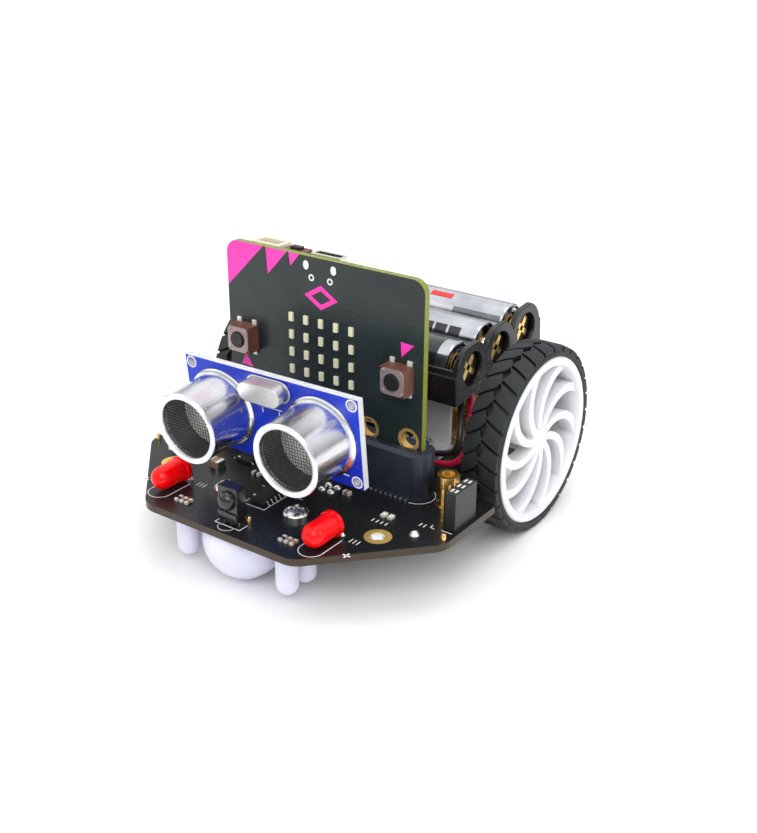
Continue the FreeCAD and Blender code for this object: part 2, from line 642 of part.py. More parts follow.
def board_components():
    smalls = [block(x - wide / 2, y - deep / 2, "dims.board_top", wide, deep, tall)
              for x, y, wide, deep, tall in SMALL_COMPONENTS]
    keep("small_components", group(smalls))
    chips = []
    for x, y, wide, deep, tall in BOARD_CHIPS:
        chip = block(x - wide / 2, y - deep / 2, "dims.board_top", wide, deep, tall)
        feet = []
        for i in range(int(deep / 1.27)):
            foot_y = y + (i - (int(deep / 1.27) - 1) / 2) * 1.27 - 0.2
            feet.append(block(x - wide / 2 - 0.9, foot_y, "dims.board_top", wide + 1.8, 0.4, 0.3))
        chips.append(fuse(chip, *feet))
    keep("board_chips", group(chips))

    can = rod(0, 36.2, "dims.board_top", 4.5, 5.0)
    keep("buzzer", cut(can, rod(0, 36.2, "dims.board_top + 4", 1.0, 2)))

    housing = block(-17.5, 37.9, "dims.board_top", 9.0, 3.8, 3.6)
    groove = block(-15.8, 40.2, "dims.board_top + 0.9", 5.7, 3, 1.9)
    keep("power_switch_body", cut(housing, groove))
    foot = block(-15.7, 40.3, "dims.board_top + 1.0", 3.5, 1.0, 1.7)
    knob = block(-15.0, 40.3, "dims.board_top + 1.0", 2.0, 2.9, 1.7)
    keep("power_switch_slider", fuse(foot, knob))

    under = "(dims.board_top - dims.board_thick)"
    sensors = [block("%d * 8.5 - 2.3" % side, -19.8, under + " - 8.5", 4.6, 6.4, 8.5)
               for side in (1, -1)]
    keep("line_sensors", group(sensors))
    lamps = [block("%d * %g - 2.5" % (side, x), y - 2.5, under + " - 1.6", 5, 5, 1.6)
             for side in (1, -1) for x, y in ((33.5, -16.5), (21.0, 34.0))]
    keep("underside_leds", group(lamps))


# ---------------------------------------------------------------- controller board

def controller():
    body = doc.addObject("PartDesign::Body", "ControllerBoard")
    half = dim("controller_half")
    base = dim("controller_base")
    top = dim("controller_top")
    corner = dim("controller_corner")
    points = [(half, base), (half, top), (-half, top), (-half, base)]
    face = sketch_on(body, "XZ_Plane", "controller_outline")
    for edge in round_corners(points, [corner] * 4):
        face.addGeometry(edge, False)
    for x in (-22.7, -12.5, 0, 12.5, 22.7):
        circle(face, x, base + 7.0, 2.0)
    pad(body, face, "dims.controller_thick", "controller_pad")
    back_y = dim("slot_y") + dim("controller_thick") / 2
    keep("controller_board", body, FreeCAD.Placement(V(0, back_y, 0), FreeCAD.Rotation()))

    front = "(dims.slot_y - dims.controller_thick / 2)"
    back = "(dims.slot_y + dims.controller_thick / 2)"
    housings = []
    for name, side in (("a", -1), ("b", 1)):
        x = "%d * dims.button_x" % side
        shell = block("%s - dims.button_side / 2" % x, front + " - dims.button_high",
                      "dims.button_z - dims.button_side / 2", "dims.button_side",
                      "dims.button_high", "dims.button_side")
        well = rod(x, front + " - dims.button_high", "dims.button_z", "dims.plunger_rad + 0.06",
                   2.0, Y_AXIS)
        legs = [block("%s + %g" % (x, dx), front + " - 0.3", "dims.button_z + %g" % dz,
                      0.9, 0.3, 0.9) for dx in (-2.6, 1.7) for dz in (-3.9, 3.0)]
        housings.append(fuse(cut(shell, well), *legs))
        plunger = rod(x, front + " - dims.button_high - 0.7", "dims.button_z",
                      "dims.plunger_rad", 2.1, Y_AXIS)
        keep("button_" + name, plunger)
    keep("button_bodies", group(housings))

    leds = []
    for column in range(-2, 3):
        for line in range(5):
            leds.append(block("%d * dims.matrix_pitch - 0.55" % column, front + " - 0.5",
                              "dims.matrix_top_z - %d * dims.matrix_pitch - 1.0" % line,
                              1.1, 0.5, 2.0))
    keep("led_matrix", group(leds))

    usb = block(-3.9, back, "dims.controller_top - 5.2", 7.8, 2.7, 5.6)
    keep("usb_socket", cut(usb, block(-3.3, back + " + 0.5", "dims.controller_top - 3.6",
                                      6.6, 1.7, 5)))
    jack = block(-20.4, back, "dims.controller_top - 7.2", 7.8, 4.6, 7.4)
    slot = block(-19.4, back + " + 0.9", "dims.controller_top - 5.4", 5.8, 2.8, 7)
    keep("battery_jack", cut(jack, slot))
    reset = block(-11.9, back, "dims.controller_top - 4.2", 6.0, 3.4, 4.0)
    well = block(-10.3, back + " + 1.0", "dims.controller_top - 1.6", 2.8, 1.6, 3)
    keep("reset_body", cut(reset, well))
    keep("reset_button", block(-10.25, back + " + 1.05", "dims.controller_top - 1.0",
                               2.7, 1.5, 1.4))
    chips = [block(x - side / 2, back, z - side / 2, side, 1.0, side)
             for x, z, side in ((8.0, 46.0, 6.0), (-6.0, 44.0, 5.0), (15.0, 53.0, 3.0),
                                (-16.0, 40.0, 3.0))]
    keep("controller_chips", group(chips))


# ---------------------------------------------------------------- ultrasonic sensor

def sonar_home():
    turn = FreeCAD.Rotation(Y_AXIS, -dim("sonar_roll")).multiply(
        FreeCAD.Rotation(X_AXIS, dim("sonar_pitch")))
    return FreeCAD.Placement(V(dim("sonar_x"), dim("sonar_y"), dim("sonar_z")), turn)


def sonar():
    """The sensor's own frame: origin on its front face, cans along -Y."""
    home = sonar_home()
    body = doc.addObject("PartDesign::Body", "SonarBoard")
    half = dim("sonar_long") / 2
    tall = dim("sonar_tall") / 2
    face = sketch_on(body, "XZ_Plane", "sonar_outline")
    outline(face, [(-half, -tall), (half, -tall), (half, tall), (-half, tall)])
    for x in (-21.0, 21.0):
        for z in (-8.6, 8.6):
            circle(face, x, z, 0.85)
    board = pad(body, face, "dims.sonar_thick", "sonar_pad")
    board.Reversed = True
    keep("sonar_board", body, home)

    cans = []
    meshes = []
    for side in (1, -1):
        x = "%d * dims.can_pitch / 2" % side
        shell = rod(x, "-dims.sonar_can_depth", 0, "dims.sonar_can_rad",
                    "dims.sonar_can_depth", Y_AXIS)
        mouth = rod(x, "-dims.sonar_can_depth", 0, "dims.sonar_mouth_rad", 4.0, Y_AXIS)
        cans.append(cut(shell, mouth))
        meshes.append(rod(x, "1.2 - dims.sonar_can_depth", 0, "dims.sonar_mouth_rad", 0.5,
                          Y_AXIS))
    keep("sonar_cans", group(cans), home)
    keep("sonar_meshes", group(meshes), home)

    crystal = fuse(block(-3.4, -3.5, 5.0, 6.8, 3.4, 4.4), rod(-3.4, -3.5, 7.2, 2.2, 3.4, Y_AXIS),
                   rod(3.4, -3.5, 7.2, 2.2, 3.4, Y_AXIS), block(-5.9, -0.1, 4.7, 11.8, 0.1, 5.0))
    keep("sonar_crystal", crystal, home)
    thick = "dims.sonar_thick"
    chips = [block(x - wide / 2, thick, z - tall / 2, wide, 1.4, tall)
             for x, z, wide, tall in ((-10, 1, 8.6, 4), (8, 2, 8.6, 4), (0, -2.5, 3.9, 5))]
    keep("sonar_chips", group(chips), home)

    socket_y = dim("sonar_y") + 4.5
    socket_x = dim("sonar_x") + 0.3
    shell = block(socket_x - 5.1, socket_y - 1.25, "dims.board_top", 10.2, 2.5, 8.5)
    slots = []
    pins = []
    for i in range(4):
        x = socket_x + (i - 1.5) * dim("pin_pitch")
        slots.append(block(x - 0.4, socket_y - 0.4, "dims.board_top + 2.5", 0.8, 0.8, 8))
        drop = block(x - 0.32, socket_y - 0.32, "dims.board_top + 4.0", 0.64, 0.64, 6.6)
        reach = block(x - 0.32, socket_y - 2.1, "dims.board_top + 9.96", 0.64, 2.1, 0.64)
        pins.append(fuse(drop, reach))
    strip = block(socket_x - 5.0, socket_y - 1.0, "dims.board_top + 8.55", 10.0, 2.0, 1.2)
    keep("sonar_socket", cut(shell, *slots))
    keep("sonar_pins", fuse(strip, *pins))


# ---------------------------------------------------------------- battery holder

def holder_home():
    return FreeCAD.Placement(V(0, dim("holder_y"), dim("holder_z")),
                             FreeCAD.Rotation(X_AXIS, dim("holder_tilt")))


def battery_holder():
    """The holder's own frame: origin at the middle of its underside."""
    home = holder_home()
    half = "dims.holder_half"
    wall = "dims.holder_wall"
    outer = block("-" + half, "-dims.holder_depth / 2", 0, "2 * " + half, "dims.holder_depth",
                  "dims.holder_high")
    rounds = common(outer, fuse(
        block("-" + half, "-dims.holder_depth / 2", 0, "2 * " + half, "dims.holder_depth", 6.6),
        *[rod("-" + half, "%d * dims.cell_pitch" % i, 6.0, "dims.holder_depth / 6 + 0.2",
              "2 * " + half, X_AXIS) for i in (-1, 0, 1)]))
    bays = []
    for i in (-1, 0, 1):
        bays.append(rod("%s - %s" % (wall, half), "%d * dims.cell_pitch" % i,
                        "dims.cell_axis_z", "dims.cell_rad + 0.35",
                        "2 * (%s - %s)" % (half, wall), X_AXIS))
    open_top = block("%s - %s" % (wall, half), "-dims.holder_depth / 2", "dims.cell_axis_z + 1.6",
                     "2 * (%s - %s)" % (half, wall), "dims.holder_depth", 12)
    windows = [rod("-" + half, "%d * dims.cell_pitch" % i, "dims.cell_axis_z",
                   "dims.window_rad", "2 * " + half, X_AXIS) for i in (-1, 0, 1)]
    keep("battery_holder", cut(rounds, open_top, *bays, *windows), home)

    cells = []
    contacts = []
    for i in (-1, 0, 1):
        y = "%d * dims.cell_pitch" % i
        plus = 1 if i == 0 else -1
        can = rod("-dims.cell_length / 2", y, "dims.cell_axis_z", "dims.cell_rad",
                  "dims.cell_length", X_AXIS)
        nub_x = "dims.cell_length / 2" if plus > 0 else "-dims.cell_length / 2 - 0.8"
        nub = rod(nub_x, y, "dims.cell_axis_z", 1.8, 0.8, X_AXIS)
        cells.append(fuse(can, nub))
        for end in (1, -1):
            low = "%s - %s - 0.25" % (half, wall) if end > 0 else "%s - %s" % (wall, half)
            plate = block(low, y + " - 3.6", "dims.cell_axis_z - 3.9", 0.25, 7.2, 7.4)
            contacts.append(plate)
    keep("battery_cells", group(cells), home)
    keep("battery_contacts", group(contacts), home)


def holder_pads():
    """Foam pads between the motor brackets and the tilted holder."""
    rise = math.tan(math.radians(dim("holder_tilt")))
    half = dim("bracket_half") - 0.8
    base = dim("bracket_top")
    pads = []
    for side in (1, -1):
        x = side * (dim("bracket_inner_x") + dim("bracket_outer_x")) / 2 - 4
        section = []
        for y in (-half, half):
            across = dim("axle_y") + y
            top = dim("holder_z") + (across - dim("holder_y")) * rise
            section.append((across, top))
        points = [V(x, section[0][0], base), V(x, section[1][0], base),
                  V(x, section[1][0], section[1][1]), V(x, section[0][0], section[0][1])]
        pads.append(Part.Face(Part.makePolygon(points + points[:1])).extrude(V(8, 0, 0)))
    keep("holder_pads", feature(Part.makeCompound(pads)))


# ---------------------------------------------------------------- battery leads

LEAD_ROUTES = {
    "battery_lead_red": [
        (22.6, 17.0, 32.03), (22.6, 17.34, 28.5), (25.5, 12.5, 26.8), (27.6, 8.6, 22.5),
        (26.6, 6.5, 17.6), (20.5, 6.2, 16.1), (11.5, 6.2, 16.1),
    ],
    "battery_lead_black": [
        (20.8, 16.6, 31.99), (20.8, 16.9, 28.9), (23.2, 11.8, 27.2), (25.4, 8.7, 23.4),
        (25.0, 7.6, 19.4), (20.0, 7.4, 17.9), (16.0, 8.0, 16.6), (11.5, 8.0, 16.6),
    ],
}


def lead_wire(points):
    """Straight runs joined by tangent arcs, each as large as its two runs allow."""
    edges = []
    start = V(*points[0])
    for before, here, after in zip(points, points[1:], points[2:]):
        corner = V(*here)
        back = V(*before) - corner
        ahead = V(*after) - corner
        turn = math.pi - back.getAngle(ahead)
        reach = 0.45 * min(back.Length, ahead.Length)
        radius = reach / math.tan(turn / 2)
        back.normalize()
        ahead.normalize()
        middle = (back + ahead).normalize()
        top = corner + middle * (radius / math.cos(turn / 2) - radius)
        enter = corner + back * reach
        leave = corner + ahead * reach
        edges.append(Part.LineSegment(start, enter).toShape())
        edges.append(Part.Arc(enter, top, leave).toShape())
        print("lead bend radius %.1f mm" % radius)
        start = leave
    edges.append(Part.LineSegment(start, V(*points[-1])).toShape())
    return Part.Wire(edges)


def battery_leads():
    for node, points in LEAD_ROUTES.items():
        wire = lead_wire(points)
        direction = V(*points[1]) - V(*points[0])
        section = Part.Wire([Part.makeCircle(dim("lead_rad"), V(*points[0]), direction)])
        tube = wire.makePipeShell([section], True, True)
        expected = math.pi * dim("lead_rad") ** 2 * wire.Length
        print("%s: length %.1f mm, volume ratio %.4f" % (node, wire.Length,
                                                         tube.Volume / expected))
        keep(node, feature(tube))
    shell = block(4.6, "dims.lead_y - 2.2", "dims.board_top", 6.9, 4.4, 4.4)
    keep("battery_plug", shell)


# ---------------------------------------------------------------- build, check and write

chassis_board()
fasteners()
motor_brackets()
motors()
for side_name, side_sign in SIDES:
    wheel(side_name, side_sign)
    tyre(side_name, side_sign)
caster()
edge_connector()
ports()
headlights()
board_components()
controller()
sonar()
battery_holder()
holder_pads()
battery_leads()
doc.recompute()

faults = [item.Name for item in doc.Objects
          if "Invalid" in item.State or "Error" in item.State]
for node, thing in SUB_PARTS.items():
    shape = thing.Shape
    if shape.isNull() or not shape.isValid() or not shape.Solids:
        faults.append(node)
if faults:
    raise RuntimeError("faulty objects: " + ", ".join(faults))

os.makedirs("parts", exist_ok=True)
for node, thing in SUB_PARTS.items():
    thing.Shape.exportStep(os.path.join("parts", node + ".step"))
print("%d sub-parts written" % len(SUB_PARTS))
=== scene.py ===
"""Looks of the two wheel robot car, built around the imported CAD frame.

The scene is in metres, with +Z up and the front towards -Y. Lengths in the piece builders are
millimetres in the car's own frame, and Builder turns them into metres.
"""

import math

import bmesh
import bpy
from mathutils import Matrix, Vector


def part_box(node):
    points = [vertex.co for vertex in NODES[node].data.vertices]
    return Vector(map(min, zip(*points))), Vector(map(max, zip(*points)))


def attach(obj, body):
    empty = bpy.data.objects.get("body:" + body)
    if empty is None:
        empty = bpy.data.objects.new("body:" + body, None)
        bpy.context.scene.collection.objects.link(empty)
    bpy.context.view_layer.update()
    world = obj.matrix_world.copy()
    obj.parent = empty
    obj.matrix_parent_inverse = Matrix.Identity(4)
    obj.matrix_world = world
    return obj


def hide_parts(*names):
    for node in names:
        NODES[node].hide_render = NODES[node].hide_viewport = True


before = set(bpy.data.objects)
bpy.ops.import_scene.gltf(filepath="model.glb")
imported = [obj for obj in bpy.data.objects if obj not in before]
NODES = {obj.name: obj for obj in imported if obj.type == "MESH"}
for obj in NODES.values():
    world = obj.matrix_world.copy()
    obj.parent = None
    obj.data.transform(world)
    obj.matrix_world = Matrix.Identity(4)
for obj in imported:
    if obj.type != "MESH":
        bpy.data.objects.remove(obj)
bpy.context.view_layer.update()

MM = 0.001


def box_mm(node):
    """Lowest and highest corner of a CAD node in millimetres."""
    low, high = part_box(node)
    return low / MM, high / MM


BOARD_LOW, BOARD_HIGH = box_mm("main_board")
BOARD_TOP = BOARD_HIGH.z
TYRE_LOW, TYRE_HIGH = box_mm("tyre_right")
AXLE = Vector((0, (TYRE_LOW.y + TYRE_HIGH.y) / 2, (TYRE_LOW.z + TYRE_HIGH.z) / 2))
TYRE_RAD = (TYRE_HIGH.z - TYRE_LOW.z) / 2
CONTROLLER_LOW, CONTROLLER_HIGH = box_mm("controller_board")

LAMP_X, LAMP_BACK, LAMP_Z = 20.5, -31.0, 18.0
LAMP_RAD, LAMP_LONG = 2.55, 5.9
RECEIVER_X, RECEIVER_FRONT = 0.9, -40.6

SONAR_HOME = (Matrix.Translation((1.0, -25.8, 33.2)) @ Matrix.Rotation(math.radians(-1.0), 4, "Y")
              @ Matrix.Rotation(math.radians(5.0), 4, "X"))
HOLDER_HOME = Matrix.Translation((0, 24.7, 32.8)) @ Matrix.Rotation(math.radians(5.5), 4, "X")
CAN_X, CAN_DEPTH, CAN_MOUTH = 13.1, 12.0, 6.4
CELL_PITCH, CELL_AXIS_Z, CELL_RAD, CELL_LONG = 11.7, 6.35, 5.2, 43.7
HOLDER_WALL_X = 24.3

MOUNT_X, MOUNT_Y = 28.0, -26.1
POST_PLACES = ((31.9, -6.4), (26.5, 38.3))
CASTER_SCREW_X, CASTER_SCREW_Y = 9.5, -29.1
BRACKET_SCREW_X, BRACKET_SCREW_REACH, FOOT_THICK = 14.5, 9.2, 2.0
PORT_PIN_X, PORT_SOCKET_X = 35.8, 38.35
PORT_ROW = [-14.39 + 2.54 * i for i in range(3)]
BUTTON_X, BUTTON_Z, BUTTON_HIGH = 20.7, 41.6, 3.4
EDGE_HOLES = (-22.7, -12.5, 0, 12.5, 22.7)


# ---- materials

MATS = {}


def new_node(tree, kind, inputs=(), **settings):
    """A shader node; inputs holds pairs of a socket and a value or another node's output."""
    node = tree.nodes.new("ShaderNode" + kind)
    for name, value in settings.items():
        setattr(node, name, value)
    for socket, value in inputs:
        if isinstance(value, bpy.types.NodeSocket):
            tree.links.new(value, node.inputs[socket])
        else:
            node.inputs[socket].default_value = value
    return node


def new_material(name):
    """A material kept in MATS; returns its node tree and its texture coordinates."""
    material = bpy.data.materials.new(name)
    MATS[name] = material
    material.use_nodes = True
    tree = material.node_tree
    tree.nodes.clear()
    return tree, new_node(tree, "TexCoord").outputs


def set_shader(tree, inputs):
    """The material's one shader, with its inputs."""
    shader = new_node(tree, "BsdfPrincipled", inputs)
    new_node(tree, "OutputMaterial", [(0, shader.outputs[0])])


def noise(tree, coords, scale, detail=3.0, stretch=None):
    """Noise in object space; its scale counts features per millimetre."""
    if stretch is not None:
        coords = new_node(tree, "Mapping", [("Scale", stretch), ("Vector", coords)]).outputs[0]
    return new_node(tree, "TexNoise", [("Scale", scale / MM), ("Detail", detail),
                                       ("Vector", coords)]).outputs["Fac"]


def remap(tree, value, low, high):
    """Spread the middle of a noise value over low to high."""
    return new_node(tree, "MapRange", [("From Min", 0.3), ("From Max", 0.7), ("To Min", low),
                                       ("To Max", high), ("Value", value)]).outputs[0]


def mix_colours(tree, factor, first, second):
    """Blend two colours, each a triple or another node's output."""
    first, second = ((*c, 1) if isinstance(c, tuple) else c for c in (first, second))
    return new_node(tree, "Mix", [(0, factor), (6, first), (7, second)],
                    data_type="RGBA").outputs[2]


def relief(tree, height, strength, depth):
    """A bump whose depth is in millimetres."""
    return new_node(tree, "Bump", [("Strength", strength), ("Distance", depth * MM),
                                   ("Height", height)]).outputs[0]


def surface(name, colour, second, rough, grain, bump, metal=0.0, mottle=0.15, stretch=None,
            coat=0.0, subsurface=0.0, ior=1.5, painted_glow=0.0):
    """A finish of two mottled colours; grain is per millimetre and bump in millimetres. A
    painted_glow above zero makes the surface emit its first colour as painted glow.
    """
    tree, coords = new_material(name)
    broad = noise(tree, coords["Object"], mottle, 4.0)
    fine = noise(tree, coords["Object"], grain, 5.0, stretch)
    set_shader(tree, [
        ("Base Color", mix_colours(tree, remap(tree, broad, 0.0, 1.0), colour, second)),
        ("Roughness", remap(tree, fine, *rough)),
        ("Normal", relief(tree, fine, 1.0, bump)),
        ("Metallic", metal), ("Coat Weight", coat), ("Coat Roughness", 0.12),
        ("Subsurface Weight", subsurface), ("Subsurface Scale", 0.6 * MM), ("IOR", ior),
        ("Emission Color", (*colour, 1)), ("Emission Strength", painted_glow)])


def board_finish(name, mask, mask_light, edge, edge_light, flat_axis, gloss):
    """Solder mask on the two faces of a circuit board and bare glass fibre round its edge."""
    tree, texture = new_material(name)
    coords = texture["Object"]
    facing = new_node(tree, "SeparateXYZ", [(0, texture["Normal"])]).outputs[flat_axis]
    size = new_node(tree, "Math", [(0, facing)], operation="ABSOLUTE").outputs[0]
    is_face = new_node(tree, "Math", [(0, size), (1, 0.8)], operation="GREATER_THAN").outputs[0]
    turn = (math.radians(90) if flat_axis == "Y" else 0, 0, 0)
    swapped = new_node(tree, "Mapping", [("Rotation", turn), ("Vector", coords)]).outputs[0]
    traces = new_node(tree, "TexBrick", [
        ("Scale", 0.16 / MM), ("Mortar Size", 0.045), ("Mortar Smooth", 0.3),
        ("Color1", (0, 0, 0, 1)), ("Color2", (0.25, 0.25, 0.25, 1)), ("Mortar", (1, 1, 1, 1)),
        ("Vector", swapped)]).outputs["Color"]
    cloud = noise(tree, coords, 0.06, 3.0)
    fine = noise(tree, coords, 3.0, 4.0)
    weave = noise(tree, coords, 1.2, 2.0, (1, 1, 9))
    face = mix_colours(tree, remap(tree, cloud, 0.0, 1.0), mask, mask_light)
    rim = mix_colours(tree, remap(tree, weave, 0.0, 1.0), edge, edge_light)
    set_shader(tree, [
        ("Base Color", mix_colours(tree, is_face, rim, face)),
        ("Roughness", remap(tree, fine, 0.24, 0.38)),
        ("Normal", relief(tree, traces, 0.5, 0.03)),
        ("Coat Weight", gloss), ("Coat Roughness", 0.15),
        ("Specular IOR Level", 0.25 + gloss / 2)])


board_finish("pcb_black", (0.006, 0.007, 0.008), (0.012, 0.014, 0.016), (0.03, 0.02, 0.012),
             (0.07, 0.05, 0.03), "Z", 0.06)
board_finish("pcb_controller", (0.012, 0.02, 0.019), (0.03, 0.042, 0.04), (0.16, 0.19, 0.02),
             (0.3, 0.32, 0.05), "Y", 0.1)
board_finish("pcb_blue", (0.003, 0.016, 0.42), (0.006, 0.045, 0.62), (0.55, 0.57, 0.6),
             (0.75, 0.77, 0.8), "Y", 0.12)
# name, darker and lighter colour, roughness, grain, bump, metal
surface("black_plastic", (0.01, 0.012, 0.014), (0.022, 0.025, 0.028), (0.35, 0.5), 4.0, 0.015)
surface("connector_plastic", (0.012, 0.017, 0.03), (0.025, 0.032, 0.05), (0.3, 0.45), 3.0, 0.015)
surface("holder_plastic", (0.006, 0.006, 0.007), (0.014, 0.014, 0.016), (0.22, 0.38), 1.5, 0.005)
surface("white_plastic", (0.74, 0.74, 0.78), (0.82, 0.82, 0.85), (0.3, 0.45), 1.5, 0.015,
        subsurface=0.08)
surface("caster_plastic", (0.66, 0.66, 0.8), (0.76, 0.76, 0.88), (0.35, 0.5), 1.5, 0.015,
        subsurface=0.15)
surface("cream_plastic", (0.72, 0.66, 0.52), (0.8, 0.75, 0.62), (0.35, 0.5), 2.0, 0.02,
        subsurface=0.1)
# The red lens emits a little of its own red: painted glow standing in for light passing through
# the epoxy.
surface("red_lens", (0.8, 0.0, 0.001), (0.98, 0.001, 0.001), (0.1, 0.2), 1.0, 0.004, ior=1.38,
        painted_glow=0.1)
surface("tyre_rubber", (0.005, 0.008, 0.009), (0.013, 0.017, 0.018), (0.5, 0.75), 5.0, 0.04)
surface("steel", (0.68, 0.68, 0.66), (0.8, 0.8, 0.78), (0.16, 0.3), 3.0, 0.002, 1.0)
surface("can_steel", (0.5, 0.5, 0.5), (0.62, 0.62, 0.62), (0.25, 0.42), 3.0, 0.004, 1.0,
        stretch=(0.1, 1, 1))
surface("brass", (0.72, 0.47, 0.12), (0.85, 0.6, 0.2), (0.2, 0.36), 3.0, 0.003, 1.0)
surface("gold", (0.85, 0.58, 0.18), (0.95, 0.72, 0.3), (0.16, 0.28), 4.0, 0.002, 1.0)
surface("gold_pad", (0.8, 0.5, 0.12), (0.92, 0.66, 0.22), (0.4, 0.55), 4.0, 0.002, 0.8)
surface("tin", (0.72, 0.72, 0.7), (0.84, 0.84, 0.82), (0.2, 0.42), 2.5, 0.03, 1.0)
surface("aluminium", (0.7, 0.71, 0.74), (0.84, 0.85, 0.88), (0.16, 0.28), 3.0, 0.004, 1.0,
        stretch=(1, 0.12, 1))
surface("gauze", (0.06, 0.058, 0.05), (0.14, 0.14, 0.13), (0.3, 0.5), 6.0, 0.01, 0.9)
surface("chip_epoxy", (0.012, 0.012, 0.013), (0.025, 0.025, 0.027), (0.4, 0.6), 6.0, 0.02)
surface("ceramic", (0.32, 0.16, 0.09), (0.42, 0.24, 0.14), (0.4, 0.6), 5.0, 0.01)
surface("silk", (0.8, 0.8, 0.8), (0.9, 0.9, 0.9), (0.5, 0.7), 8.0, 0.01)
surface("pink", (0.95, 0.03, 0.42), (1.0, 0.05, 0.5), (0.4, 0.55), 6.0, 0.008)
surface("button_brown", (0.12, 0.045, 0.03), (0.2, 0.085, 0.06), (0.4, 0.6), 4.0, 0.02)
surface("plate_steel", (0.4, 0.3, 0.28), (0.55, 0.45, 0.42), (0.45, 0.65), 4.0, 0.012, 0.6)
surface("rubber_black", (0.008, 0.009, 0.008), (0.02, 0.021, 0.018), (0.35, 0.6), 4.0, 0.02)
surface("lens_black", (0.006, 0.006, 0.007), (0.014, 0.014, 0.015), (0.12, 0.25), 2.0, 0.006,
        coat=0.4)
surface("wire_red", (0.5, 0.004, 0.045), (0.68, 0.01, 0.08), (0.25, 0.4), 3.0, 0.01, coat=0.2)
surface("wire_black", (0.008, 0.008, 0.008), (0.02, 0.02, 0.02), (0.25, 0.4), 3.0, 0.01, coat=0.2)
surface("foam", (0.03, 0.03, 0.03), (0.08, 0.08, 0.08), (0.8, 0.95), 3.0, 0.15)
surface("led_cream", (0.78, 0.75, 0.5), (0.9, 0.88, 0.66), (0.2, 0.4), 4.0, 0.01, subsurface=0.2)
surface("jacket_black", (0.012, 0.013, 0.016), (0.03, 0.032, 0.036), (0.16, 0.28), 2.0, 0.006,
        0.4, coat=0.5)
surface("jacket_silver", (0.42, 0.44, 0.48), (0.62, 0.64, 0.68), (0.1, 0.2), 1.2, 0.004, 1.0,
        coat=0.3)
surface("jacket_red", (0.6, 0.01, 0.015), (0.75, 0.02, 0.02), (0.2, 0.3), 2.0, 0.006, 0.3,
        coat=0.5)
surface("plate_dark", (0.03, 0.027, 0.02), (0.08, 0.07, 0.045), (0.3, 0.5), 3.0, 0.01, 0.9)
surface("floor_paper", (0.94, 0.94, 0.94), (0.96, 0.96, 0.96), (0.7, 0.9), 0.5, 0.01, mottle=0.01)
surface("can_liner", (0.7, 0.7, 0.68), (0.85, 0.85, 0.83), (0.4, 0.6), 3.0, 0.003, 0.1)
# Dark metallic bands of painted reflection, laid on the silver cell sleeves.
surface("jacket_painted_reflection", (0.13, 0.14, 0.16), (0.22, 0.23, 0.25), (0.15, 0.25), 1.2, 0.004, 0.9,
        coat=0.3)
surface("solder_bright", (0.8, 0.79, 0.72), (0.9, 0.89, 0.84), (0.3, 0.5), 4.0, 0.01, 0.4)
# Near black for the wall inside the sonar cans: painted shade in the recess.
surface("can_wall_painted_shade", (0.02, 0.02, 0.02), (0.06, 0.06, 0.055), (0.4, 0.6), 2.0, 0.02)


# ---- mesh building

def put(name, data):
    """A new object in the scene."""
    thing = bpy.data.objects.new(name, data)
    bpy.context.scene.collection.objects.link(thing)
    return thing


def circle(radius, steps):
    """Points evenly round a circle."""
    angles = [2 * math.pi * k / steps for k in range(steps)]
    return [(radius * math.cos(angle), radius * math.sin(angle)) for angle in angles]


